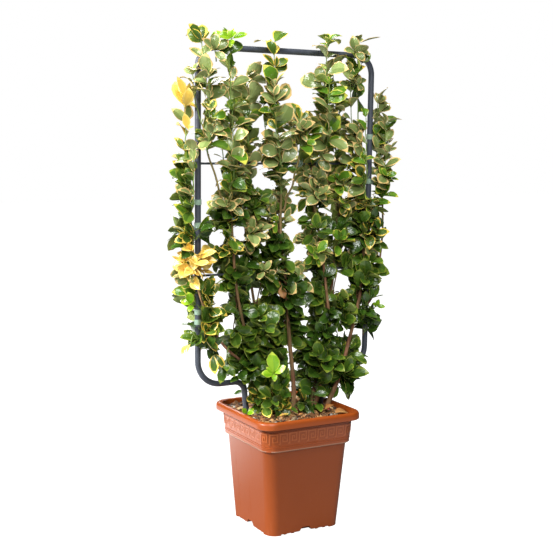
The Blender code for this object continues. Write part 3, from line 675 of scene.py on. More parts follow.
def addPebbles(draw, half):
    bpy.ops.mesh.primitive_ico_sphere_add(subdivisions=2, radius=1)
    ball = bpy.context.object
    for vertex in ball.data.vertices:
        vertex.co *= 1 + 0.22 * noise.noise(vertex.co * 1.3)
        vertex.co.z *= 0.72
    template = arraysOf(ball)
    finishes = [plainFinish(name, colour, 0.6, 500.0) for name, colour in pebbleTints.items()]
    reach, spread = mulch["pebbleSpread"]
    blocks = []
    for number in range(mulch["pebbles"]):
        sideways, edge = draw.uniform(-reach, reach), -half + abs(draw.gauss(0, spread))
        x, y = (sideways, edge) if number % 3 else (edge, sideways)
        size = draw.uniform(*mulch["pebbleSize"])
        turn = Matrix.Rotation(draw.uniform(0, math.tau), 3, "Z") @ Matrix.Diagonal(
            [draw.uniform(*span) for span in mulch["pebbleShape"]])
        place = (x, y, bedHeight(x, y) + mulch["pebbleLift"])
        blocks.append(placed(template, place, turn, size, draw.randrange(len(finishes))))
    joinedMesh("rimPebbles", blocks, finishes)


def addMulch():
    draw = random.Random(mulch["seed"])
    half = mulch["bedHalf"] - mulch["wallGap"]
    addBed()
    addChips(draw, half)
    addPebbles(draw, half)


# Support: one tube bent from foot to foot, two thin bars and the tape that ties the stems to them
support = {
    "tubeRadius": 0.0075,
    "barRadius": 0.0028,
    "middleX": -0.006,
    "planeY": 0.0035,
    "half": 0.250,
    "topZ": 1.2165,
    "bottomZ": 0.3884,
    "topBend": 0.048,
    "bottomBend": 0.062,
    "footBend": 0.030,
    "legTopHalf": 0.1177,
    "legEndHalf": 0.095,
    "legEndZ": 0.140,
    "bends": 14,
    "tubeSides": 28,
    "barSides": 16,
    "barSink": 0.6,  # share of the tube's radius that a bar ends short of the tube's middle
    "bars": {"frame_bar_lower": 0.666, "frame_bar_upper": 0.940},
}
supportNodes = [f"frame_{part}_{side}" for part in ("upright", "bend_top", "bend_bottom", "leg")
                for side in ("left", "right")] + ["frame_top_rail"]


def coatedSteel():
    finish = Finish("coatedSteel", roughness=0.42)
    patch = finish.noise(34.0, 5.0, 0.6)
    scratch = finish.noise(60.0, 4.0, 0.75, (1, 1, 0.18))
    base = finish.blend(patch, tint(54, 58, 66), tint(82, 88, 100))
    finish.colour(finish.blend(scratch.above(0.70, 0.03) * 0.8, base, tint(176, 180, 188)))
    finish.set("Roughness", 0.34 + patch * 0.2)
    finish.bump(finish.noise(240.0, 3.0), 0.0003, 0.35)
    return finish


def tapeGreen():
    finish = Finish("tapeGreen", roughness=0.38)
    crease = finish.noise(190.0, 3.0, 0.6, (1, 1, 2.2))
    finish.colour(finish.blend(crease, tint(112, 140, 122), tint(168, 192, 172)))
    finish.bump(crease, 0.0008, 0.6)
    return finish


def onFrame(way, z, half=support["half"]):
    # A point in the frame's plane, by default on the middle line of an upright
    return Vector((support["middleX"] + way * half, support["planeY"], z))


def supportPath():
    # The tube's middle line from the left foot to the right one
    mid, y, half = support["middleX"], support["planeY"], support["half"]
    points = [onFrame(-1, support["legEndZ"], support["legEndHalf"])]

    def bend(centreX, centreZ, radius, start, end):
        for step in range(support["bends"] + 1):
            angle = math.radians(start + (end - start) * step / support["bends"])
            x, z = centreX + radius * math.cos(angle), centreZ + radius * math.sin(angle)
            points.append(Vector((x, y, z)))

    foot, low, high = support["footBend"], support["bottomBend"], support["topBend"]
    legX, footZ = support["legTopHalf"], support["bottomZ"] - support["footBend"]
    bend(mid - legX - foot, footZ, foot, 0, 90)
    bend(mid - half + low, support["bottomZ"] + low, low, 270, 180)
    bend(mid - half + high, support["topZ"] - high, high, 180, 90)
    bend(mid + half - high, support["topZ"] - high, high, 90, 0)
    bend(mid + half - low, support["bottomZ"] + low, low, 0, -90)
    bend(mid + legX + foot, footZ, foot, 90, 180)
    points.append(onFrame(1, support["legEndZ"], support["legEndHalf"]))
    return points


def tubePiece(points, radii, sides):
    # A round tube along points: a path with a bevel, made a mesh and closed at its ends
    curve = bpy.data.curves.new("path", "CURVE")
    curve.dimensions, curve.bevel_depth, curve.use_fill_caps = "3D", 1.0, True
    curve.bevel_resolution = max(0, (sides - 4) // 2)
    line = curve.splines.new("POLY")
    line.points.add(len(points) - 1)
    for point, place, radius in zip(line.points, points, radii):
        point.co, point.radius = (*place, 1), radius
    piece = bpy.data.objects.new("path", curve)
    bpy.context.scene.collection.objects.link(piece)
    makeActive(piece)
    bpy.ops.object.convert(target="MESH")
    piece = bpy.context.object
    switchTo("EDIT")
    bpy.ops.mesh.select_all(action="SELECT")
    bpy.ops.mesh.remove_doubles(threshold=0.00001)
    bpy.ops.mesh.normals_make_consistent(inside=False)
    switchTo("OBJECT")
    return piece


def addSupport():
    steel = coatedSteel()
    path = supportPath()
    tube = tubePiece(path, [support["tubeRadius"]] * len(path), support["tubeSides"])
    finishPiece(tube, "supportTube", [steel], supportNodes)
    reach = support["half"] - support["tubeRadius"] * support["barSink"]
    bars = []
    for z in support["bars"].values():
        ends = [onFrame(way, z, reach) for way in (-1, 1)]
        bars.append(tubePiece(ends, [support["barRadius"]] * 2, support["barSides"]))
    finishPiece(joinPieces(bars), "crossBars", [steel], list(support["bars"]))


ties = {
    # heights of the bands on each upright and the side of their tails, and places along the upper bar
    "left": ((0.847, 0), (0.791, 1), (0.576, 0), (0.551, 0)),
    "right": ((1.010, 0), (0.894, 1)),
    "bar": (-0.169, -0.107, 0.026, 0.076, 0.101, 0.193),
    "bandHeight": 0.013,
    "bandSides": 24,
    "thick": 0.0006,
    "lift": (0.0004, 0.0007, 160),  # off the tube: least, waves and their closeness
    "edgeWaves": (0.0012, 120),
    "tail": 0.010,
    "tailFrom": 0.93,  # share of the radius past which the band is drawn out into its tail
    "tailCrease": 0.0004,
    "coil": {
        "turns": 3,
        "steps": 48,
        "length": 0.010,
        "slant": 0.002,
        "ahead": 0.0045,
        "radius": (0.0062, 0.0014),  # mean and swing
        "depth": 1.35,  # front to back, as a share of its height
        "loose": ((0.004, -0.006, 0.007), (0.002, -0.003, 0.006)),
        "thick": 0.0013,
        "sides": 8,
    },
    "seed": 31,
}


def tieBand(x, z, side, draw):
    # A wrapped band, some with a short pinched tail
    radius = support["tubeRadius"] + ties["thick"]
    bpy.ops.mesh.primitive_cylinder_add(vertices=ties["bandSides"], radius=radius, depth=ties["bandHeight"],
                                        end_fill_type="NOTHING", location=(x, support["planeY"], z))
    band = bpy.context.object
    bpy.ops.object.transform_apply(location=True, rotation=True, scale=True)
    switchTo("EDIT")
    bpy.ops.mesh.select_all(action="SELECT")
    bpy.ops.mesh.subdivide(number_cuts=2)
    switchTo("OBJECT")
    least, swing, closeness = ties["lift"]
    edge, edgeCloseness = ties["edgeWaves"]
    for vertex in band.data.vertices:
        out = Vector((vertex.co.x - x, vertex.co.y - support["planeY"], 0))
        wave = noise.noise(vertex.co * closeness)
        vertex.co += out.normalized() * (least + swing * wave)
        vertex.co.z += edge * noise.noise(Vector((out.x, out.y, z)) * edgeCloseness)
        if side and out.x * side > radius * ties["tailFrom"]:
            vertex.co.x += side * ties["tail"] * (0.8 + 0.2 * wave)
            vertex.co.z += draw.uniform(-ties["tailCrease"], ties["tailCrease"])
    applyModifier(band, "SOLIDIFY", thickness=ties["thick"], offset=0)
    return band


def tieCoil(x, z):
    # Tape wound round the upper bar, with a loose end
    coil = ties["coil"]
    mean, swing = coil["radius"]
    points = []
    for step in range(coil["steps"] + 1):
        share = step / coil["steps"]
        angle = share * coil["turns"] * math.tau
        swell = mean + swing * math.sin(angle * 0.5)
        points.append(Vector((x + coil["length"] * (share - 0.5) + coil["slant"] * math.sin(angle),
                              support["planeY"] - coil["ahead"] + swell * coil["depth"] * math.cos(angle),
                              z + swell * math.sin(angle))))
    for step in coil["loose"]:
        points.append(points[-1] + Vector(step))
    return tubePiece(points, [coil["thick"]] * len(points), coil["sides"])


def addTies():
    draw = random.Random(ties["seed"])
    pieces = [tieBand(support["middleX"] + way * support["half"], z, side, draw)
              for key, way in (("left", -1), ("right", 1)) for z, side in ties[key]]
    pieces += [tieCoil(x, support["bars"]["frame_bar_upper"]) for x in ties["bar"]]
    finishPiece(joinPieces(pieces), "tapeTies", [tapeGreen()])


# Limbs, as in the solids: each stem's foot, two guide points, tip and radii
ground = 0.3003
limbGap = 0.0003
stems = {
    "stem_middle": (
        (0.012, -0.014, ground), (0.014, -0.018, 0.47), (-0.038, -0.016, 0.65), (-0.034, -0.016, 0.865),
        0.0062, 0.0030),
    "stem_left": (
        (-0.050, -0.010, ground), (-0.122, -0.014, 0.42), (-0.166, -0.018, 0.60), (-0.178, -0.016, 0.860),
        0.0052, 0.0028),
    "stem_inner_left": (
        (-0.022, 0.016, ground), (-0.075, 0.022, 0.46), (-0.112, 0.022, 0.66), (-0.124, 0.016, 0.900),
        0.0045, 0.0026),
    "stem_inner_right": (
        (0.074, -0.014, ground), (0.136, -0.020, 0.42), (0.122, -0.018, 0.62), (0.052, -0.016, 0.880),
        0.0055, 0.0028),
    "stem_back_right": (
        (0.092, 0.024, ground), (0.120, 0.026, 0.48), (0.178, 0.024, 0.70), (0.150, 0.018, 0.930),
        0.0050, 0.0028),
    "stem_right": (
        (0.106, -0.026, ground), (0.166, -0.026, 0.42), (0.226, -0.018, 0.55), (0.222, -0.016, 0.840),
        0.0062, 0.0030),
}
boughs = {  # the limb that each leaves, how far along, two guide points, tip and radii
    "bough_outer_left": (
        "stem_left", 0.36, (-0.190, -0.024, 0.485), (-0.279, -0.028, 0.530), (-0.283, -0.016, 0.790),
        0.0034, 0.0024),
    "bough_outer_right": (
        "stem_right", 0.60, (0.245, -0.026, 0.58), (0.282, -0.026, 0.62), (0.278, -0.014, 0.840),
        0.0032, 0.0024),
    "bough_fork_left": (
        "stem_left", 0.93, (-0.198, -0.020, 0.86), (-0.226, -0.022, 0.91), (-0.240, -0.018, 0.965),
        0.0026, 0.0022),
    "bough_fork_middle": (
        "stem_middle", 0.94, (-0.020, -0.022, 0.865), (0.004, -0.022, 0.90), (0.016, -0.018, 0.960),
        0.0026, 0.0022),
    "bough_fork_right": (
        "stem_back_right", 0.88, (0.128, 0.006, 0.895), (0.100, -0.004, 0.92), (0.095, -0.010, 0.965),
        0.0026, 0.0022),
}
limbRule = {
    "solidSteps": 12,
    "stemSteps": 140,
    "boughSteps": 80,
    "sway": 0.0025,
    "waves": (1.2, 2.0),
    "flare": 1.4,
    "flareHeight": 0.012,
    "sides": 16,
    "ridge": (0.00035, 0.006),  # relief, on a limb of this radius
    "grain": ((1.6, 2.6, 34, 9), (0.8, 6, 90, 5)),  # strength, closeness round and up, shift by limb
    "scarSpacing": 0.034,
    "scarRing": (0.00035, 14),  # height and sharpness
    "boughSeed": 20,
}


def bezier(corners, t):
    a, b, c, d = corners
    s = 1 - t
    return s**3 * a + 3 * s**2 * t * b + 3 * s * t**2 * c + t**3 * d


def limbLine(corners, radii, steps, seed, flared):
    draw = random.Random(seed)
    phase, waves = draw.uniform(0, math.tau), draw.uniform(*limbRule["waves"])
    corners = [Vector(corner) for corner in corners]
    points, widths = [], []
    for step in range(steps + 1):
        t = step / steps
        sway = limbRule["sway"] * 4 * t * (1 - t)
        turn = phase + waves * math.tau * t
        place = bezier(corners, t) + Vector((sway * math.cos(turn), sway * math.sin(turn), 0))
        width = radii[0] + (radii[1] - radii[0]) * t
        if flared:
            fade = math.exp(-(place.z - corners[0].z) / limbRule["flareHeight"])
            width *= 1 + (limbRule["flare"] - 1) * fade
        points.append(place)
        widths.append(width)
    return points, widths


def along(line, share):
    # Place, direction and radius at a share of a line's length
    points, widths = line
    position = share * (len(points) - 1)
    index = min(int(position), len(points) - 2)
    rest = position - index
    place = points[index].lerp(points[index + 1], rest)
    radius = widths[index] + (widths[index + 1] - widths[index]) * rest
    return place, (points[index + 1] - points[index]).normalized(), radius


def hostShare(share):
    # The solids' stems have one short stretch more at their foot, and their shares count from there
    rows = limbRule["solidSteps"]
    return (share * (rows + 1) - 1) / rows


def limbLines():
    lines = {}
    for seed, (name, (*corners, foot, tip)) in enumerate(stems.items()):
        lines[name] = limbLine(corners, (foot, tip), limbRule["stemSteps"], seed, True)
    for seed, (name, (host, share, *corners, foot, tip)) in enumerate(boughs.items(), limbRule["boughSeed"]):
        place, direction, radius = along(lines[host], hostShare(share))
        out = Vector(corners[0]) - place
        out = (out - direction * out.dot(direction)).normalized()
        first = place + out * (radius + limbGap + 2 * foot)
        points, widths = limbLine([first, *corners], (foot, tip), limbRule["boughSteps"], seed, False)
        lines[name] = ([place, place.lerp(first, 0.6), *points], [foot, foot, *widths])
    return lines


def barkBrown():
    finish = Finish("barkBrown", roughness=0.8)
    streak = finish.noise(120.0, 5.0, 0.65, (1, 1, 0.16))
    patch = finish.noise(22.0, 3.0, 0.5, (1, 1, 0.5))
    brown = finish.node("ValToRGB", {"stops": [
        (0.30, tint(74, 48, 34)), (0.52, tint(142, 96, 68)), (0.72, tint(190, 142, 106))]}, {"Fac": streak})
    young = finish.node("SeparateXYZ", {}, {"Vector": finish.place()}, 2)
    greener = finish.blend(patch.above(0.5, 0.12) * 0.35, brown, tint(122, 116, 66))
    finish.colour(finish.blend(young.above(0.78, 0.16) * 0.55, greener, tint(128, 132, 72)))
    finish.bump(streak, 0.0008, 0.8)
    return finish


def addLimbs(lines):
    pieces = []
    ridge, ridgeRadius = limbRule["ridge"]
    scarHeight, sharpness = limbRule["scarRing"]
    for number, (points, widths) in enumerate(lines.values()):
        limb = tubePiece(points, widths, limbRule["sides"])
        places = np.array([vertex.co for vertex in limb.data.vertices])
        axis = np.array([np.array(point) for point in points])
        nearest = np.linalg.norm(places[:, None] - axis, axis=2).argmin(axis=1)
        for vertex, index in zip(limb.data.vertices, nearest):
            out = vertex.co - points[index]
            if out.length < widths[index] * 0.5:
                continue
            out.normalize()
            relief = 0.0
            for strength, around, upward, shift in limbRule["grain"]:
                spot = Vector((out.x * around, out.y * around, vertex.co.z * upward + number * shift))
                relief += strength * noise.noise(spot)
            scar = (vertex.co.z / limbRule["scarSpacing"] + number * 0.37) % 1.0
            ring = math.exp(-((scar - 0.5) * sharpness) ** 2)
            vertex.co += out * (ridge * widths[index] / ridgeRadius * relief + scarHeight * ring)
        pieces.append(limb)
    finishPiece(joinPieces(pieces), "woodyStems", [barkBrown()], list(lines), smoothAngle=70)


# Leaf shapes: one blade of few faces, bent in many ways. Every other one is arched, and two in
# four have wide margins
blade = {
    "templates": 32,
    "marginFrom": ((0.80, 0.94), (0.54, 0.82)),  # share of the half width, narrow and wide
    "width": (0.46, 0.64),
    "lift": (0.0, 0.28),
    "droop": ((0.15, 0.85), (0.80, 1.60)),  # how far the tip turns down, on flat and arched blades
    "droopEase": 1.4,
    "keel": (0.05, 0.40),
    "cup": (-0.10, 0.25),
    "edgeWave": (0.022, 7),
    "twist": 0.35,
    "twistFlat": 0.3,  # keeps a twisted blade from folding up
    "sweep": 0.12,
    "thickness": 0.014,
    "across": 4,
    "fineSteps": 40,
    # share of the length, and half width there as a share of the widest
    "outline": [(0.0, 0.045), (0.10, 0.05), (0.25, 0.55), (0.46, 0.94), (0.66, 0.96), (0.86, 0.60),
                (1.0, 0.05)],
    "seed": 12,
}
# the lighter top is painted light, laid on one half of a blade as if that half faced the lamps
bladeSlots = 6  # top, lighter top, margin, then the same on the underside


def bladeTemplates():
    draw = random.Random(blade["seed"])
    rows = len(blade["outline"]) - 1
    return [bladeTemplate(draw, number, rows) for number in range(blade["templates"])]


def bladeTemplate(draw, number, rows):
    middle, fine = blade["across"] // 2, blade["fineSteps"]
    bpy.ops.mesh.primitive_grid_add(x_subdivisions=rows, y_subdivisions=blade["across"], size=1)
    leaf = bpy.context.object
    slotFinish = bpy.data.materials.get("bladeSlot") or bpy.data.materials.new("bladeSlot")
    for slot in range(bladeSlots):
        leaf.data.materials.append(slotFinish)
    lift, droop = draw.uniform(*blade["lift"]), draw.uniform(*blade["droop"][number % 2])
    width, keel, cup = (draw.uniform(*blade[key]) for key in ("width", "keel", "cup"))
    twist, sweep = (draw.uniform(-blade[key], blade[key]) for key in ("twist", "sweep"))
    phase = draw.uniform(0, math.tau)
    inner, outer = blade["marginFrom"][number // 2 % 2]
    edges = [[draw.uniform(inner, outer) for _ in range(rows + 1)] for side in range(2)]
    line = [(0.0, 0.0)]
    for step in range(fine):
        angle = lift - droop * ((step + 0.5) / fine) ** blade["droopEase"]
        line.append((line[-1][0] + math.cos(angle) / fine, line[-1][1] + math.sin(angle) / fine))
    size, waves = blade["edgeWave"]
    for vertex in leaf.data.vertices:
        row = round((vertex.co.x + 0.5) * rows)
        column = round((vertex.co.y + 0.5) * blade["across"]) - middle
        share, wide = blade["outline"][row]
        side = 0 if column < 0 else 1
        part = {0: 0.0, 1: edges[side][row], 2: 1.0}[abs(column)] * math.copysign(1, column)
        x, z = line[round(share * fine)]
        y = part * (wide * width / 2)
        z += keel * abs(y) * (1 - 0.5 * share) + cup * y * y * 2
        z += size * wide * math.sin(share * waves + phase + 2 * side) * (abs(column) == middle)
        angle = twist * share
        flat = blade["twistFlat"] * z * math.sin(angle)
        y, z = y * math.cos(angle) - flat, z + y * math.sin(angle)
        vertex.co = (x, y + sweep * share * share, z)
    applyMargins(leaf, rows, draw)
    closeBlade(leaf)
    return arraysOf(leaf)


def closeBlade(leaf):
    # An underside that meets the top along the edge, thickest at the rib
    tops = len(leaf.data.vertices)
    edge = {i for edge in leaf.data.edges for i in edge.vertices
            if sum(set(edge.vertices) <= set(face.vertices) for face in leaf.data.polygons) == 1}
    applyModifier(leaf, "SOLIDIFY", thickness=blade["thickness"], offset=-1,
                  material_offset=bladeSlots // 2, use_rim=False)
    for i in edge:
        leaf.data.vertices[tops + i].co = leaf.data.vertices[i].co
    makeActive(leaf)
    switchTo("EDIT")
    bpy.ops.mesh.select_all(action="SELECT")
    bpy.ops.mesh.remove_doubles(threshold=0.0001)
    switchTo("OBJECT")


def applyMargins(leaf, rows, draw):
    # The outer quads and the tip carry the margin's colour; the halves are one green, or one half takes the
    # lighter green as painted light, as if it faced the lamps
    layer = leaf.data.uv_layers.active.data
    # painted light: one half of the blade takes the lighter green, as if it faced the lamps, or neither half
    # does
    paintedLitHalf = draw.choice((0, 1, 2))  # one half lies lighter, or none
    for face in leaf.data.polygons:
        middle = np.mean([layer[i].uv for i in face.loop_indices], axis=0)
        row, column = int(middle[0] * rows), int(middle[1] * blade["across"])
        outer = column in (0, blade["across"] - 1)
        if row >= rows - 1 or (outer and row >= 1):
            face.material_index = 2
        else:
            face.material_index = int((column >= blade["across"] // 2) == paintedLitHalf)


# Colours of the blades, dealt out by spray: top, lighter top and margin, then the same underneath. The
# lighter top is painted light on one half of a blade
leafTints = {
    "deep": ((44, 72, 18), (60, 92, 26), (74, 98, 28),
             (94, 110, 48), (108, 126, 58), (120, 136, 64)),
    "mid": ((64, 94, 26), (82, 112, 34), (122, 138, 44),
            (124, 140, 60), (136, 152, 70), (162, 170, 84)),
    "edged": ((70, 98, 32), (94, 120, 42), (230, 198, 84),
              (140, 154, 78), (158, 170, 92), (236, 210, 120)),
    "pale": ((114, 131, 72), (136, 152, 90), (222, 190, 122),
             (146, 160, 100), (164, 176, 114), (230, 206, 144)),
    "fresh": ((82, 124, 30), (106, 146, 40), (196, 194, 76),
              (138, 162, 70), (156, 178, 84), (216, 206, 112)),
    "gold": ((238, 198, 88), (228, 192, 84), (244, 214, 116),
             (240, 204, 116), (230, 198, 108), (246, 218, 132)),
    "lime": ((112, 158, 22), (138, 178, 34), (176, 196, 60),
             (132, 166, 50), (150, 180, 62), (184, 200, 84)),
    "dry": ((190, 132, 78), (208, 156, 98), (170, 110, 60),
            (204, 156, 104), (214, 170, 118), (180, 126, 78)),
    "red": ((176, 44, 58), (190, 60, 70), (160, 40, 50),
            (184, 70, 76), (190, 80, 84), (168, 60, 64)),
}


def firstSlot(palette):
    return bladeSlots * list(leafTints).index(palette)


def leafFinishes():
    finishes = []
    for name, colours in leafTints.items():
        for index, colour in enumerate(colours):
            under = index >= bladeSlots // 2
            finish = Finish(f"{name}Leaf{index}", roughness=0.5 if under else 0.25)
            finish.colour(tint(*colour))
            where = finish.node("UVMap", {"uv_map": "blade"}, {})
            ahead, across = (finish.node("SeparateXYZ", {}, {"Vector": where}, part) for part in (0, 1))
            fromRib = finish.node("Math", {"operation": "ABSOLUTE"}, {0: across - 0.5})
            veins = finish.node("Math", {"operation": "SINE"}, {0: ahead * 46 - fromRib * 40})
            height = veins * 0.3 + fromRib.above(0.03, 0.03) * 0.9
            finish.bump(height * (-1 if under else 1), 0.0005, 0.5)
            finishes.append(finish)
    return finishes


def twigFinishes():
    green = plainFinish("twigGreen", (116, 140, 66), 0.6, 400.0, (1, 1, 0.3))
    brown = plainFinish("twigBrown", (122, 88, 58), 0.75, 400.0, (1, 1, 0.3))
    return [green, brown]


# Spaces of the masses: the limb each grows from, and its lowest and highest corner. A wand also
# strays sideways from the middle of its space, by so much half way up and at the tip
wands = {
    "top_left": ("bough_fork_left", (-0.288, -0.075, 0.966), (-0.214, 0.060, 1.250), (0.012, -0.014)),
    "top_outer_left": ("bough_outer_left", (-0.335, -0.070, 0.792), (-0.2885, 0.070, 1.115), (0.008, 0.014)),
    "top_inner_left": ("stem_left", (-0.2135, -0.075, 0.862), (-0.1455, 0.070, 1.268), (0.004, -0.018)),
    "top_left_middle": ("stem_inner_left", (-0.145, -0.070, 0.902), (-0.0905, 0.075, 1.170), (0.004, 0.010)),
    "top_middle": ("stem_middle", (-0.090, -0.078, 0.867), (-0.0215, 0.065, 1.256), (-0.016, -0.014)),
    "top_right_middle": ("bough_fork_middle", (-0.021, -0.07, 0.962), (0.0505, 0.07, 1.07), (0.004, 0.006)),
    "top_inner_right": ("bough_fork_right", (0.051, -0.075, 0.967), (0.1205, 0.070, 1.268), (-0.006, 0.002)),
    "top_right": ("stem_back_right", (0.121, -0.070, 0.932), (0.158, 0.075, 1.205), (0.0, -0.006)),
    "top_far_right": ("stem_right", (0.1585, -0.075, 0.862), (0.2225, 0.075, 1.270), (-0.026, -0.012)),
    "top_outer_right": ("bough_outer_right", (0.223, -0.07, 0.842), (0.31, 0.07, 1.12), (-0.008, -0.012)),
}
bushes = {
    "upper_outer_left": ("bough_outer_left", (-0.335, -0.080, 0.640), (-0.238, 0.080, 0.7915)),
    "upper_left": ("stem_left", (-0.2375, -0.085, 0.690), (-0.1485, 0.085, 0.8615)),
    "upper_inner_left": ("stem_inner_left", (-0.148, -0.085, 0.690), (-0.0725, 0.085, 0.9015)),
    "upper_middle": ("stem_middle", (-0.072, -0.085, 0.660), (0.0105, 0.085, 0.8665)),
    "upper_inner_right": ("stem_inner_right", (0.011, -0.085, 0.660), (0.0985, 0.085, 0.961)),
    "upper_right": ("stem_back_right", (0.099, -0.085, 0.690), (0.180, 0.085, 0.9315)),
    "upper_outer_right": ("stem_right", (0.1805, -0.085, 0.690), (0.310, 0.085, 0.8415)),
    "middle_outer_left": ("bough_outer_left", (-0.325, -0.085, 0.470), (-0.208, 0.080, 0.6395)),
    "middle_left": ("stem_left", (-0.2075, -0.095, 0.500), (-0.1255, 0.095, 0.6895)),
    "middle_inner_left": ("stem_inner_left", (-0.125, -0.095, 0.470), (-0.0405, 0.095, 0.6895)),
    "middle": ("stem_middle", (-0.040, -0.100, 0.460), (0.045, 0.095, 0.6595)),
    "middle_inner_right": ("stem_inner_right", (0.0455, -0.100, 0.460), (0.128, 0.095, 0.6595)),
    "middle_right": ("stem_back_right", (0.1285, -0.095, 0.500), (0.2045, 0.095, 0.6895)),
    "middle_outer_right": ("stem_right", (0.205, -0.095, 0.470), (0.308, 0.090, 0.6895)),
    "lower_left": ("stem_left", (-0.215, -0.095, 0.385), (-0.090, 0.095, 0.4995)),
    "lower_middle": ("stem_inner_left", (-0.0895, -0.110, 0.306), (-0.004, 0.100, 0.4595)),
    "lower_inner_right": ("stem_inner_right", (0.022, -0.110, 0.306), (0.117, 0.100, 0.4595)),
    "lower_right": ("stem_right", (0.1175, -0.100, 0.325), (0.245, 0.095, 0.4595)),
}
growth = {
    "seed": 60,
    "slack": (0.020, 0.020, 0.030),  # how far a blade may lean out of its mass's space
    "boxInset": 0.0015,
    "bladeClear": 0.0008,
    "stalkShare": 0.34,  # the first part of a blade, which may stand close to wood and blades
    "hidingFrom": 0.12,  # from here on a blade hides what is behind it
    "cell": 0.0048,  # blades keep out of cells that other blades hold
    "shared": 4,  # so many of them may be held already
    "coarse": 6,  # of the limbs' points, one in so many is kept for working out clearances
    "archedShare": {"top": 0.85, "upper": 0.5, "middle": 0.35, "lower": 0.3},
    # how far blades keep to the wall of leaves
    "flatten": {"top": 0.6, "upper": 0.4, "middle": 0.3, "lower": 0.35},
    # share of an opening that stays open, in the bushes and at the top
    "openingEase": ((0.3, 1.0), (0.15, 0.7)),
    "twigRadius": 0.0017,
    "twigSides": 6,
}
# Two blades on either side of a twig. One that finds no room is tried again, turned and smaller
pairRule = {
    "facing": (-0.15, 0.8, 0.55),  # where upper sides turn, away from the frame's plane
    "liftSpread": 0.18,
    "rollSpread": 0.60,
    "size": (0.76, 1.12),
    "liftStep": math.radians(9),
    "liftSteps": (0, 1, -1, 2, -2, 3),
    "turnSpread": (0.26, 0.08),  # at first, and more with each try
    "flatSpread": (0.0, 1.2),
    "sizeLoss": 0.05,
}


def stretches(lines):
    # A row for each stretch of the lines: its start and step, its radius and how that changes
    rows = []
    for points, widths in lines:
        for i in range(len(points) - 1):
            rows.append((*points[i], *(points[i + 1] - points[i]), widths[i], widths[i + 1] - widths[i]))
    return np.array(rows)


def clearance(points, table):
    # How far each point is from the nearest wood or tube
    start, step, radius, change = table[:, :3], table[:, 3:6], table[:, 6], table[:, 7]
    offset = points[:, None, :] - start
    share = np.clip((offset * step).sum(axis=2) / (step**2).sum(axis=1), 0, 1)
    distance = np.linalg.norm(offset - share[..., None] * step, axis=2)
    return (distance - radius - share * change).min(axis=1)


# Open spots that let the background through, by sight line: x and z in the plane of the tube,
# half width and half height
openings = [
    (-0.143, 0.768, 0.022, 0.024), (-0.200, 0.754, 0.022, 0.020), (-0.151, 0.705, 0.011, 0.012),
    (-0.194, 0.607, 0.030, 0.020), (-0.166, 0.544, 0.014, 0.018), (0.015, 0.771, 0.032, 0.018),
    (0.031, 0.709, 0.026, 0.020), (0.064, 0.650, 0.012, 0.014), (0.156, 0.625, 0.034, 0.028),
    (-0.098, 0.612, 0.018, 0.026), (0.140, 0.431, 0.008, 0.006),
    (0.021, 0.396, 0.008, 0.012), (-0.142, 1.183, 0.030, 0.035), (0.016, 1.170, 0.030, 0.060),
    (0.100, 0.768, 0.010, 0.010), (0.060, 0.800, 0.008, 0.012), (0.170, 0.860, 0.012, 0.010),
    (-0.075, 0.700, 0.010, 0.008), (-0.245, 0.640, 0.012, 0.008), (0.100, 0.560, 0.008, 0.008),
    (-0.199, 1.084, 0.014, 0.030), (-0.082, 1.032, 0.012, 0.032), (-0.187, 0.960, 0.020, 0.018),
    (-0.218, 0.908, 0.028, 0.020), (-0.093, 0.898, 0.016, 0.022), (0.134, 1.160, 0.014, 0.014),
    (0.196, 1.073, 0.020, 0.032), (-0.008, 0.908, 0.018, 0.009), (0.315, 0.460, 0.055, 0.055),
    (0.235, 0.335, 0.035, 0.030),
]
rimWaves = ((0.35, 3, 90), (0.22, 5, 70))  # their ragged rims: depth, count, and shift by place


# Stretches that no leaf hides, as shares of a limb or heights of an upright, and how near to
# them a sight line may pass
inView = {
    "limbs": [("stem_middle", 0.04, 0.42), ("stem_middle", 0.86, 1.0), ("stem_left", 0.53, 0.66),
              ("stem_right", 0.02, 0.17), ("stem_right", 0.36, 0.50), ("stem_right", 0.62, 0.67),
              ("stem_inner_right", 0.58, 0.67), ("stem_back_right", 0.02, 0.10)],
    "uprights": [(-1, 0.38, 0.47), (-1, 0.53, 0.62), (-1, 0.73, 0.92), (-1, 1.035, 1.095),
                 (1, 0.97, 1.20), (1, 0.86, 0.94), (1, 0.43, 0.50)],
    "near": 0.008,
}


def sightSpots(points):
    # Where the line from the camera through each point meets the plane of the tube
    eye = np.array(cameraSettings["place"])
    return eye[[0, 2]] + (points - eye)[:, [0, 2]] * (-eye[1] / (points[:, 1:2] - eye[1]))


def inOpening(points, ease=1.0):
    # The rims of the open spots are ragged, each in its own way
    seen = sightSpots(points)
    for x, z, wide, high in openings:
        across, over = (seen[:, 0] - x) / wide, (seen[:, 1] - z) / high
        angle = np.arctan2(over, across)
        ragged = 1.0
        for (depth, count, shift), spot in zip(rimWaves, (x, z)):
            ragged = ragged + depth * np.sin(count * angle + shift * spot)
        if (across**2 + over**2 < ease * ragged).any():
            return True
    return False


def keptSpots(lines):
    def evenly(low, high):
        return [low + (high - low) * i / 14 for i in range(15)]

    places = [along(lines[name], share)[0]
              for name, low, high in inView["limbs"] for share in evenly(low, high)]
    places += [onFrame(way, z) for way, low, high in inView["uprights"] for z in evenly(low, high)]
    places = np.array(places)
    return sightSpots(places), places[:, 1]


def axesAlong(direction, upward):
    x = direction.normalized()
    y = upward.cross(x)
    if y.length < 0.05:
        y = Vector((0.3, 1.0, 0.0)).cross(x)
    y.normalize()
    return Matrix((x, y, x.cross(y))).transposed()


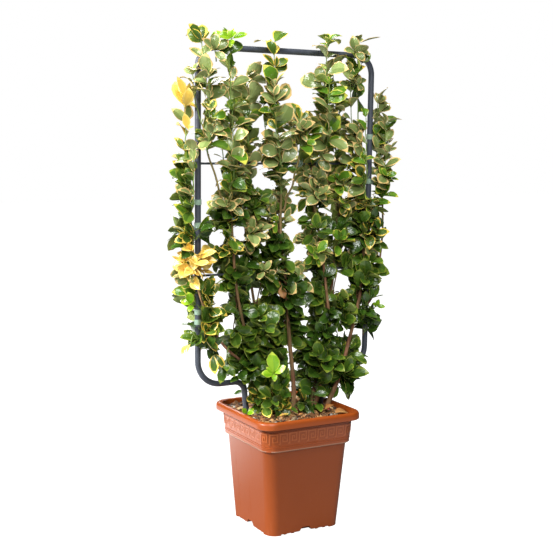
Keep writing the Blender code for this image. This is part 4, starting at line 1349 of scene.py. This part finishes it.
class Crown:
    # Grows every mass and keeps its blades and twigs by group
    def __init__(self, lines, templates):
        self.templates = templates
        path, coarse = supportPath(), growth["coarse"]
        held = [(path, [support["tubeRadius"]] * len(path))]
        for z in support["bars"].values():
            held.append(([onFrame(way, z) for way in (-1, 1)], [support["barRadius"]] * 2))
        for points, widths in lines.values():
            held.append((points[::coarse] + points[-1:], widths[::coarse] + widths[-1:]))
        self.table = stretches(held)
        self.kept, self.keptDepth = keptSpots(lines)
        self.low, self.high = (np.array(corner) for corner in cadBox)
        self.taken = set()
        self.blades, self.twigs, self.bright = {}, {}, []
        self.draw = random.Random(growth["seed"])
        self.count = 0

    def enter(self, name, *space):
        self.group = name.split("_")[0]
        self.space = np.array(space)

    def free(self, points, margin, slack=0.0):
        # Whether points keep to the mass's space and clear of wood and frame
        points, slack = np.array(points), np.array(slack)
        low = np.maximum(self.space[0] - slack, self.low + growth["boxInset"])
        high = np.minimum(self.space[1] + slack, self.high - growth["boxInset"])
        if (points < low).any() or (points > high).any():
            return False
        return clearance(points, self.table).min() > margin

    def hides(self, points):
        # Whether points come before a stretch or a sprig that stays in view
        gap = np.linalg.norm(sightSpots(points)[:, None] - self.kept, axis=2)
        return ((gap < inView["near"]) & (points[:, 1:2] < self.keptDepth)).any()

    def blade(self, root, out, upward, length, palette):
        # A blade on its own, if it finds room
        wide = self.draw.random() < bladeWide[palette]
        arched = self.draw.random() < growth["archedShare"][self.group]
        template = self.templates[4 * self.draw.randrange(len(self.templates) // 4) + 2 * wide + arched]
        made = placed(template, root, axesAlong(out, upward), length, firstSlot(palette))
        ahead = template["points"][:, 0]
        outer = made["points"][ahead > growth["stalkShare"]]
        ease = self.draw.uniform(*growth["openingEase"][self.group == "top"])
        if not self.free(outer, growth["bladeClear"], growth["slack"]) or inOpening(outer, ease):
            return False
        if self.hides(made["points"][ahead > growth["hidingFrom"]]):
            return False
        middles = np.concatenate([outer, (outer[:-1] + outer[1:]) / 2])
        cells = {tuple(cell) for cell in np.floor(middles / growth["cell"]).astype(int)}
        if len(cells & self.taken) > growth["shared"]:
            return False
        self.taken |= cells
        if palette == "lime":
            self.bright.append(outer)
        self.blades.setdefault(self.group, []).append(made)
        self.count += 1
        return True

    def pair(self, place, axis, turn, lift, length, palette, lean=0.4):
        # The upper sides turn out from the frame's plane and up
        x, y, z = pairRule["facing"]
        facing = Vector((x, math.copysign(y, place.y - support["planeY"]), z)).normalized()
        side = axis.orthogonal().normalized()
        side.rotate(Matrix.Rotation(turn, 3, axis))
        first, more = pairRule["turnSpread"]
        for way in (-1, 1):
            bend = lift + self.draw.gauss(0, pairRule["liftSpread"])
            roll = self.draw.gauss(0, pairRule["rollSpread"])
            grown = length * self.draw.uniform(*pairRule["size"])
            for attempt, step in enumerate(pairRule["liftSteps"]):
                steep = bend + step * pairRule["liftStep"]
                out = side * way * math.cos(steep) + axis * math.sin(steep)
                out.rotate(Matrix.Rotation(self.draw.gauss(0, first + more * attempt), 3, axis))
                flat = growth["flatten"][self.group] * self.draw.uniform(*pairRule["flatSpread"])
                out = (out - facing * out.dot(facing) * flat).normalized()
                upward = (axis * (1 - lean) + facing * lean).normalized()
                upward.rotate(Matrix.Rotation(roll, 3, out))
                if self.blade(place, out, upward, grown * (1 - pairRule["sizeLoss"] * attempt), palette):
                    break

    def twig(self, points, thick, thin, brown=False):
        widths = [thick + (thin - thick) * i / (len(points) - 1) for i in range(len(points))]
        self.twigs.setdefault(self.group, []).append(twigArrays(points, widths, int(brown)))

    def palette(self, place):
        # Deep green at the foot, paler and edged higher up, with gold at the left side
        high = max(0.0, min(1.0, (place.z - 0.58) / 0.34))
        weights = {
            "deep": 1.5 * (1 - high) ** 1.3 + 0.08,
            "mid": 0.8 - 0.4 * high,
            "edged": 0.16 * high + (0.35 if place.x < -0.19 and place.z > 0.6 else 0),
            "pale": 1.7 * high ** 1.5,
            "fresh": 0.14 + (0.6 * high if place.x > 0.04 else 0.08 * high),
        }
        for name, (centre, reach, amount) in specialPlaces.items():
            if (place - Vector(centre)).length < reach:
                weights[name.rstrip("0123456789")] = amount
        return self.draw.choices(list(weights), list(weights.values()))[0]


# Share of blades with a wide margin
bladeWide = {
    "deep": 0.0, "mid": 0.1, "edged": 0.4, "pale": 0.25, "fresh": 0.15,
    "gold": 1.0, "lime": 0.0, "dry": 0.0, "red": 0.0,
}

# Places where single sprays stand out: middle, reach and weight
specialPlaces = {
    "gold1": ((-0.288, -0.03, 0.688), 0.062, 8.0),
    "gold2": ((-0.312, -0.02, 1.045), 0.056, 8.0),
    "lime1": ((-0.197, -0.02, 1.245), 0.026, 12.0),
    "edged1": ((-0.266, -0.03, 0.530), 0.066, 1.6),
}


def twigArrays(points, widths, slot):
    # A round twig with closed ends, its rings square to its path
    sides, count = growth["twigSides"], len(points)
    ring = np.arange(sides) * math.tau / sides
    cosine, sine = np.cos(ring)[:, None], np.sin(ring)[:, None]
    rows = []
    for i, (point, width) in enumerate(zip(points, widths)):
        ahead = points[min(i + 1, count - 1)] - points[max(i - 1, 0)]
        axes = axesAlong(ahead, Vector((0.31, 0.95, 0.1)))
        across, over = np.array(axes.col[1]), np.array(axes.col[2])
        rows.append(np.array(point) + width * (cosine * across + sine * over))
    start, k = np.arange(count - 1)[:, None] * sides, np.arange(sides)[None, :]
    after = (k + 1) % sides
    faces = np.stack([start + k, start + after, start + sides + after, start + sides + k], axis=-1)
    caps = np.concatenate([np.arange(sides)[::-1], (count - 1) * sides + np.arange(sides)])
    totals = np.array([4] * (sides * (count - 1)) + [sides] * 2)
    return {"points": np.concatenate(rows), "corners": np.concatenate([faces.reshape(-1), caps]),
            "totals": totals, "slots": np.full(len(totals), slot)}


# Bushes: forks and side shoots that fill a mass's space
bushRule = {
    "goldenAngle": math.radians(137.5),
    "leaf": {"upper": 0.057, "middle": 0.062, "lower": 0.065},
    "leafSpread": (0.8, 1.1),
    "shoots": {"upper": 20, "middle": 25, "lower": 27},
    "reach": (0.35, 1.0),
    "leastReach": 0.018,
    "longReach": 0.030,  # from this length a shoot has a third pair
    "knee": 0.010,
    "kneeTurns": (0, 180, 60, -60, 120, -120),
    "kneeClear": 0.004,
    "searchSteps": 40,
    "tuftRoom": 0.012,
    "forkTries": 12,
    "forkBow": 0.006,
    "forkClear": 0.002,
    "forkSteps": 10,
}


def sideStart(crown, line, middle):
    # Where a bush leaves its limb: its foot, and the knee where it forks
    steps = bushRule["searchSteps"]
    spots = [along(line, 0.04 + 0.92 * i / steps) for i in range(steps + 1)]
    spots.sort(key=lambda spot: (spot[0] - middle).length)
    for place, direction, radius in spots:
        side = Vector((0.0, middle.y - place.y, 0.0))
        side = side if side.length > 0.004 else Vector((0, -1, 0))
        side = (side - direction * side.dot(direction)).normalized()
        for turn in bushRule["kneeTurns"]:
            out = side.copy()
            out.rotate(Matrix.Rotation(math.radians(turn), 3, direction))
            knee = place + out * (radius + bushRule["knee"])
            if crown.free([knee, knee + out * 0.002], bushRule["kneeClear"]):
                return place + out * radius * 0.5, knee
    return middle, middle + Vector((0, -bushRule["knee"], 0))


# Side twigs that turn upward, in shares and degrees
shootRule = {
    "tries": 6,
    "sway": 0.22,
    "rise": (-0.1, 1.0),
    "lean": (0.7, 0.3),  # at first, and more with each try
    "lengthLoss": 0.18,
    "bends": (0.55, 0.45),  # where it turns up, and the rest of its length
    "turnUp": (0.3, 1.6),
    "steps": 6,
    "clear": (0.0012, 0.004),  # from wood, and how far it may lean out of the mass's space
    "thickness": (0.85, 0.6),  # of a first twig and of a side twig
    "thin": 0.55,
    "pairsOver": 0.8,
    "endPair": ((40, 62), 0.88),  # lift and size
    "pairLift": (8, 42),
    "sizeLoss": 0.05,
    "tuft": (66, 0.5),
    "sideChance": 0.55,
    "sideFrom": (0.3, 0.65),
    "sideRise": (-0.2, 0.5),
    "sideLength": (0.5, 0.8),
}


def growShoot(crown, root, direction, length, pairs, size, palette, level=0):
    # A side twig that turns upward, with crossed pairs of blades and a tuft at its end
    draw, rule = crown.draw, shootRule
    leanFirst, leanMore = rule["lean"]
    for attempt in range(rule["tries"]):
        sideways, deep = (draw.gauss(0, rule["sway"]) for _ in (0, 1))
        lean = Vector((sideways, deep, draw.uniform(*rule["rise"])))
        axis = (direction + lean * (leanFirst + leanMore * attempt)).normalized()
        reach = length * (1 - rule["lengthLoss"] * attempt)
        bend = root + axis * reach * rule["bends"][0]
        rising = (axis + up * draw.uniform(*rule["turnUp"])).normalized()
        end = bend + rising * reach * rule["bends"][1]
        points = [bezier([root, root.lerp(bend, 0.6), bend, end], step / rule["steps"])
                  for step in range(rule["steps"] + 1)]
        if crown.free(points[1:], *rule["clear"]) and not inOpening(np.array(points[2:])):
            break
    else:
        return
    thick = growth["twigRadius"] * rule["thickness"][level]
    crown.twig(points, thick, thick * rule["thin"])
    line = (points, [thick] * len(points))
    turn = draw.uniform(0, math.pi)
    endLift, endSize = rule["endPair"]
    for number in range(pairs):
        place, axis, _ = along(line, 1.0 - number * rule["pairsOver"] / pairs)
        lift = math.radians(draw.uniform(*(rule["pairLift"] if number else endLift)))
        grown = size * (1.0 - rule["sizeLoss"] * number if number else endSize)
        crown.pair(place, axis, turn + number * math.pi / 2, lift, grown, palette, lean=0.75)
    place, axis, _ = along(line, 1.0)
    lift, share = rule["tuft"]
    crown.pair(place, axis, turn + math.pi / 2, math.radians(lift), size * share, palette, lean=0.6)
    for way in (-1, 1) if level == 0 else ():
        if draw.random() < rule["sideChance"]:
            place, axis, _ = along(line, draw.uniform(*rule["sideFrom"]))
            side = axis.cross(up).normalized() * way
            out = (axis * 0.5 + side + up * draw.uniform(*rule["sideRise"])).normalized()
            sideLength = length * draw.uniform(*rule["sideLength"])
            growShoot(crown, place, out, sideLength, 2, size * 0.88, palette, level=1)


# Wands: upright shoots that carry on from the limbs
wandRule = {
    "spacing": (0.021, 0.029),
    "leaf": 0.070,
    "lift": math.radians(40),
    "railLean": 0.018,  # how far a wand leans out where it passes the top rail
    "tipRoom": 0.026,
    "weave": (0.0028, 9),
    "tipRadius": 0.0010,
    "turnSpread": 0.14,
    "liftSpread": 0.12,
    "tipLift": (0.9, 0.12),  # pairs past this share of it stand up more
    "size": (0.86, 1.08),
    "taper": 0.04,
    "lean": 0.62,
    "tuftChance": 0.5,
    "tuftBelow": 0.92,
    "tuftLength": (0.010, 0.026),
    "tips": ((64, 0.66), (76, 0.45)),  # lift and size of the closed pairs at the end
    "mates": 2,  # shorter shoots beside the main one
    "mateFrom": (0.02, 0.30),
    "mateTop": (0.45, 0.90),
    "mateAside": ((0.006, 0.018), (0.012, 0.024)),  # sideways, and to the front or back
    "mateRadius": 0.0016,
    "mateLeaf": (0.74, 0.94),
}


bareTips = ("top_middle",)


def wandLine(crown, start, axis, goal, stray, radius):
    # A slightly woven line from start up to its goal, and its twig
    middle = Vector((goal.x + stray, goal.y, 0.5 * (start.z + goal.z)))
    corners = [start, start + axis * 0.03, middle, goal]
    steps = 4 * round((goal.z - start.z) / wandRule["spacing"][0])
    size, waves = wandRule["weave"]
    points = []
    for number in range(steps + 1):
        t = number / steps
        sideways, deep = (noise.noise(Vector((t * waves, crown.count, layer))) for layer in (1, 5))
        points.append(bezier(corners, t) + Vector((sideways, deep, 0)) * size * min(1, t * 6))
    crown.twig([start - axis * 0.010, *points], radius, wandRule["tipRadius"])
    return points, [0.001] * len(points)


def dressWand(crown, line, size, bare):
    # Crossed pairs up a wand, small tufts in their axils and a closed bud of blades at the tip
    draw, rule = crown.draw, wandRule
    rise = line[0][-1].z - line[0][0].z
    tipFrom, tipLift = rule["tipLift"]
    turn, t = draw.uniform(0, math.pi), 0.0
    while t < 1.0:
        here, direction, _ = along(line, t)
        turn += math.pi / 2 + draw.gauss(0, rule["turnSpread"])
        palette = crown.palette(here)
        grown = size * (1.0 - rule["taper"] * t) * draw.uniform(*rule["size"])
        lift = rule["lift"] + draw.gauss(0, rule["liftSpread"]) + (tipLift if t > tipFrom else 0)
        crown.pair(here, direction, turn, lift, grown, palette, lean=rule["lean"])
        if draw.random() < rule["tuftChance"] and t < rule["tuftBelow"]:
            side = direction.orthogonal()
            side.rotate(Matrix.Rotation(turn + math.pi / 4 * draw.choice((-1, 1)), 3, direction))
            out = (side.normalized() + direction * 0.9).normalized()
            length, share = draw.uniform(*rule["tuftLength"]), draw.uniform(0.6, 0.9)
            growShoot(crown, here, out, length, 1, grown * share, palette, level=1)
        t += draw.uniform(*rule["spacing"]) / rise
    here, direction, _ = along(line, 1.0)
    crown.pair(here, direction, turn + math.pi / 2, rule["lift"], size * 0.86, palette)
    if not bare:
        for way, (lift, share) in enumerate(rule["tips"]):
            crown.pair(here, direction, turn + way * math.pi / 2, math.radians(lift), size * share, palette)


def growWand(crown, line, low, high, strays, bare):
    # An upright shoot from its limb's tip, with shorter mates beside it
    draw, rule = crown.draw, wandRule
    tip, axis, radius = along(line, 1.0)
    half, end = strays
    ahead = rule["railLean"] if high.z > support["topZ"] else 0.0
    goal = Vector(((low.x + high.x) / 2 + end, tip.y - ahead, high.z - rule["tipRoom"]))
    wand = wandLine(crown, tip + axis * 0.006, axis, goal, half - end, radius * 0.96)
    dressWand(crown, wand, rule["leaf"], bare)
    for number in range(rule["mates"]):
        root, axis, _ = along(wand, draw.uniform(*rule["mateFrom"]))
        aside, deep = (draw.uniform(*span) for span in rule["mateAside"])
        way = 1 if number % 2 else -1
        top = root.z + (goal.z - root.z) * draw.uniform(*rule["mateTop"])
        mateGoal = Vector((goal.x + draw.choice((-1, 1)) * aside, goal.y + way * deep, top))
        axis = (axis + Vector((0, way, 0))).normalized()
        mate = wandLine(crown, root + axis * 0.010, axis, mateGoal, 0.0, rule["mateRadius"])
        dressWand(crown, mate, rule["leaf"] * draw.uniform(*rule["mateLeaf"]), False)


def growBush(crown, line, low, high):
    # Forks up and down beside the limb, with side shoots all round by the golden angle
    draw, rule = crown.draw, bushRule
    foot, knee = sideStart(crown, line, (low + high) / 2)
    leaf, thick = rule["leaf"][crown.group], growth["twigRadius"]
    crown.twig([foot, foot.lerp(knee, 0.5), knee], thick * 1.3, thick * 1.15, True)
    forks = [forkLine(crown, knee, goalZ, low, high)
             for goalZ in (high.z - rule["tuftRoom"], low.z + rule["tuftRoom"])]
    forks = [fork for fork in forks if fork] or [([foot, knee], [0.0015] * 2)]
    shoots = rule["shoots"][crown.group]
    for number in range(shoots):
        angle = number * rule["goldenAngle"] + draw.gauss(0, 0.2)
        share = (number + 0.5) / shoots
        root, _, _ = along(forks[number % len(forks)], 0.04 + 0.96 * share)
        reach = Vector((math.cos(angle) * (high.x - low.x), math.sin(angle) * (high.y - low.y), 0))
        room = 0.5 * reach.length - 0.5 * leaf
        length = max(rule["leastReach"], room * draw.uniform(*rule["reach"]))
        pairs = 3 if length > rule["longReach"] else 2
        size = leaf * draw.uniform(*rule["leafSpread"])
        growShoot(crown, root, reach.normalized(), length, pairs, size, crown.palette(root + reach * 0.3))


def forkLine(crown, knee, goalZ, low, high):
    # One fork from the knee up or down through the bush, or nothing where there is no way
    draw, rule = crown.draw, bushRule
    middle, bend, thick = (low + high) / 2, rule["forkBow"], growth["twigRadius"]
    goal = Vector((0.5 * (knee.x + middle.x), knee.y, goalZ))
    for attempt in range(rule["forkTries"]):
        bow = Vector((draw.uniform(-bend, bend), draw.uniform(-bend, bend), 0))
        corners = [knee, knee.lerp(goal, 0.35) + bow, knee.lerp(goal, 0.7) - bow, goal]
        points = [bezier(corners, step / rule["forkSteps"]) for step in range(rule["forkSteps"] + 1)]
        if crown.free(points[1:], rule["forkClear"]):
            crown.twig(points, thick * 1.15, thick * 0.7, True)
            return points, [0.0015] * len(points)
        share = 0.5 - 0.03 * attempt
        x, y = (low[i] + (high[i] - low[i]) * draw.uniform(share, 1 - share) for i in (0, 1))
        goal = Vector((x, y, goalZ + (knee.z - goalZ) * 0.06 * attempt))
    return None


# Sprigs that stand out in front: foot, tip, colour, and each blade's way round, lift and length.
# They grow first, so that later blades keep clear of them
sprigs = {
    "limeFront": ((-0.078, -0.050, 0.362), (-0.088, -0.086, 0.420), "lime", [
        (241, 80, 0.060), (185, 8, 0.036), (165, 42, 0.028), (300, 42, 0.040), (250, -20, 0.024)]),
    "limeTop": ((-0.181, -0.026, 1.200), (-0.186, -0.036, 1.234), "lime", [
        (195, 22, 0.040), (338, 18, 0.040), (235, -35, 0.030), (270, 66, 0.026), (215, 56, 0.024)]),
    "limeLeft": ((-0.284, -0.024, 0.585), (-0.296, -0.048, 0.604), "lime", [
        (200, 62, 0.036), (150, 24, 0.030), (250, 10, 0.028), (300, 35, 0.028), (230, -35, 0.026)]),
    "limeRight": ((0.245, -0.020, 0.545), (0.254, -0.034, 0.562), "lime", [
        (300, 70, 0.022), (200, 40, 0.018), (320, 0, 0.024), (10, 30, 0.020)]),
    "limeFoot": ((-0.124, -0.010, 0.297), (-0.130, -0.022, 0.310), "lime", [
        (280, 10, 0.030), (200, 40, 0.024), (330, 30, 0.022)]),
    "hangMiddle": ((-0.186, -0.026, 0.487), (-0.200, -0.040, 0.448), "mid", [
        (200, -66, 0.052), (310, -50, 0.040), (250, -20, 0.036)]),
    "hangLeft": ((-0.222, -0.027, 0.500), (-0.232, -0.034, 0.476), "edged", [
        (250, -76, 0.052), (310, -40, 0.046)]),
    "hangGold": ((-0.284, -0.028, 0.524), (-0.293, -0.034, 0.505), "gold", [
        (228, -78, 0.048), (170, -50, 0.034)]),
    "railLeft": ((-0.2207, -0.024, 1.181), (-0.2304, -0.036, 1.204), "pale", [
        (190, 34, 0.046), (250, 62, 0.046), (335, 36, 0.044), (285, -28, 0.038)]),
    "railRight": ((0.1703, -0.024, 1.195), (0.1659, -0.036, 1.220), "pale", [
        (235, 60, 0.044), (195, 14, 0.042), (335, 6, 0.042), (280, -30, 0.038)]),
    "dryMiddle": ((-0.034, -0.026, 0.636), (-0.040, -0.034, 0.636), "dry", [
        (250, -66, 0.036), (170, 30, 0.018)]),
    "footRight": ((0.040, -0.040, 0.302), (0.036, -0.070, 0.352), "deep", [
        (240, 66, 0.054), (310, 34, 0.054), (175, 30, 0.046), (215, -6, 0.046), (280, -20, 0.048),
        (330, 4, 0.042)]),
}
sprigRule = {
    "steps": 6,
    "bow": Vector((0, 0, 0.004)),
    "radii": (0.0016, 0.0011),
    "groups": (0.47, 0.9),  # heights below which a sprig goes with the lower and the middle blades
    "facing": Vector((-0.45, -0.70, 0.55)),  # the way the blades' upper sides are turned
}
# Shoots low over the mulch, round the stems' feet: their ends, and their blades' length
footShoots = [
    ((-0.100, 0.030, 0.352), 0.044), ((-0.098, 0.002, 0.330), 0.044), ((-0.094, -0.020, 0.352), 0.048),
    ((-0.090, -0.038, 0.326), 0.046), ((-0.076, -0.056, 0.350), 0.048), ((-0.064, -0.052, 0.322), 0.042),
    ((-0.048, -0.066, 0.346), 0.046), ((-0.034, -0.052, 0.324), 0.040), ((-0.022, -0.066, 0.352), 0.046),
    ((-0.084, -0.010, 0.384), 0.050), ((-0.054, -0.058, 0.386), 0.052), ((-0.012, -0.050, 0.330), 0.036),
    ((0.020, -0.060, 0.328), 0.038), ((0.056, -0.062, 0.326), 0.040), ((0.112, 0.040, 0.330), 0.040),
]
footRule = {
    "steps": 8,
    "radii": (0.0017, 0.0010),
    "startShare": (0.45, 0.35),  # of the end's x and y
    "startZ": 0.302,
    "pairs": 4,
    "pairStep": 0.18,
    "lift": (10, 40),
    "endLift": 20,
    "palettes": ("deep", "deep", "mid", "mid", "edged"),
}
def growSprigs(crown):
    steps, (lowTop, middleTop) = sprigRule["steps"], sprigRule["groups"]
    crown.space = np.array((crown.low, crown.high))
    for start, end, palette, blades in sprigs.values():
        start, end = Vector(start), Vector(end)
        crown.group = "lower" if end.z < lowTop else "middle" if end.z < middleTop else "top"
        points = [start.lerp(end, step / steps) + sprigRule["bow"] * math.sin(step / steps * math.pi)
                  for step in range(steps + 1)]
        crown.twig(points, *sprigRule["radii"])
        for way, lift, length in blades:
            way, lift = math.radians(way), math.radians(lift)
            out = Vector((math.cos(way) * math.cos(lift), math.sin(way) * math.cos(lift), math.sin(lift)))
            crown.blade(end, out, sprigRule["facing"], length, palette)
    bright = np.concatenate(crown.bright)  # no later blade hides the bright ones
    crown.kept = np.concatenate([crown.kept, sightSpots(bright)])
    crown.keptDepth = np.concatenate([crown.keptDepth, bright[:, 1]])


def growFootShoots(crown):
    draw, steps = crown.draw, footRule["steps"]
    shareX, shareY = footRule["startShare"]
    crown.group = "lower"
    for end, size in footShoots:
        end = Vector(end)
        start = Vector((end.x * shareX, end.y * shareY, footRule["startZ"]))
        corners = [start, start + up * 0.02, start.lerp(end, 0.6) + up * 0.012, end]
        points = [bezier(corners, step / steps) for step in range(steps + 1)]
        crown.twig(points, *footRule["radii"])
        line = (points, [0.001] * len(points))
        turn = draw.uniform(0, math.pi)
        for number in range(footRule["pairs"]):
            place, axis, _ = along(line, 1.0 - footRule["pairStep"] * number)
            palette = draw.choice(footRule["palettes"])
            lift = math.radians(draw.uniform(*footRule["lift"]) + (0 if number else footRule["endLift"]))
            crown.pair(place, axis, turn + number * math.pi / 2, lift, size, palette, lean=0.8)


# Leaves that lie on the mulch: place, way they point, how they lean, length and colour
fallen = [
    ((0.070, -0.121, 0.3085), 8, 0.22, 0.056, "dry"), ((0.062, -0.088, 0.3110), 18, 0.20, 0.038, "dry"),
    ((0.066, -0.096, 0.3125), 20, 0.10, 0.019, "red"), ((-0.070, -0.080, 0.3085), 2, 0.06, 0.034, "gold"),
    ((-0.020, -0.090, 0.3070), -20, 0.4, 0.022, "dry"), ((-0.100, 0.020, 0.3070), 70, 0.2, 0.030, "dry"),
    ((0.020, 0.088, 0.3070), 30, 0.3, 0.034, "dry"), ((0.090, 0.080, 0.3070), -100, 0.2, 0.030, "gold"),
]


def addFallen(templates, finishes):
    blocks = []
    for number, (place, turn, lean, length, palette) in enumerate(fallen):
        way = math.radians(turn)
        axes = axesAlong(Vector((math.cos(way), math.sin(way), lean)), up)
        template = templates[(5 * number + 1) % len(templates)]
        blocks.append(placed(template, place, axes, length, firstSlot(palette)))
    joinedMesh("fallenLeaves", blocks, finishes)


def addCrown(lines):
    crown = Crown(lines, bladeTemplates())
    growSprigs(crown)
    growFootShoots(crown)
    for name, (host, low, high, strays) in wands.items():
        crown.enter(name, low, high)
        growWand(crown, lines[host], Vector(low), Vector(high), strays, name in bareTips)
    for name, (host, low, high) in bushes.items():
        crown.enter(name, low, high)
        growBush(crown, lines[host], Vector(low), Vector(high))
    finishes, woods = leafFinishes(), twigFinishes()
    for group in crown.blades:
        nodes = [f"foliage_{name}" for name in {**wands, **bushes} if name.split("_")[0] == group]
        joinedMesh(group + "Leaves", crown.blades[group], finishes, nodes)
        joinedMesh(group + "Twigs", crown.twigs[group], woods)
    addFallen(crown.templates, finishes)
    print("leaves grown", crown.count)


def main():
    addCamera()
    print("camera set")
    addStage()
    print("stage and lights set")
    # the pot's second finish is a painted reflection on the ridge under the band
    addPot(terracottaPlastic("terracottaPlastic"), terracottaPlastic("terracottaPaintedReflection"))
    # the key pattern's finish is a lighter copy of the plastic: a painted highlight
    addKeyBand(terracottaPlastic("terracottaPaintedHighlight"))
    print("pot made")
    addMulch()
    print("mulch made")
    addSupport()
    addTies()
    print("support made")
    lines = limbLines()
    addLimbs(lines)
    print("limbs made")
    addCrown(lines)


main()
print("visual model made")
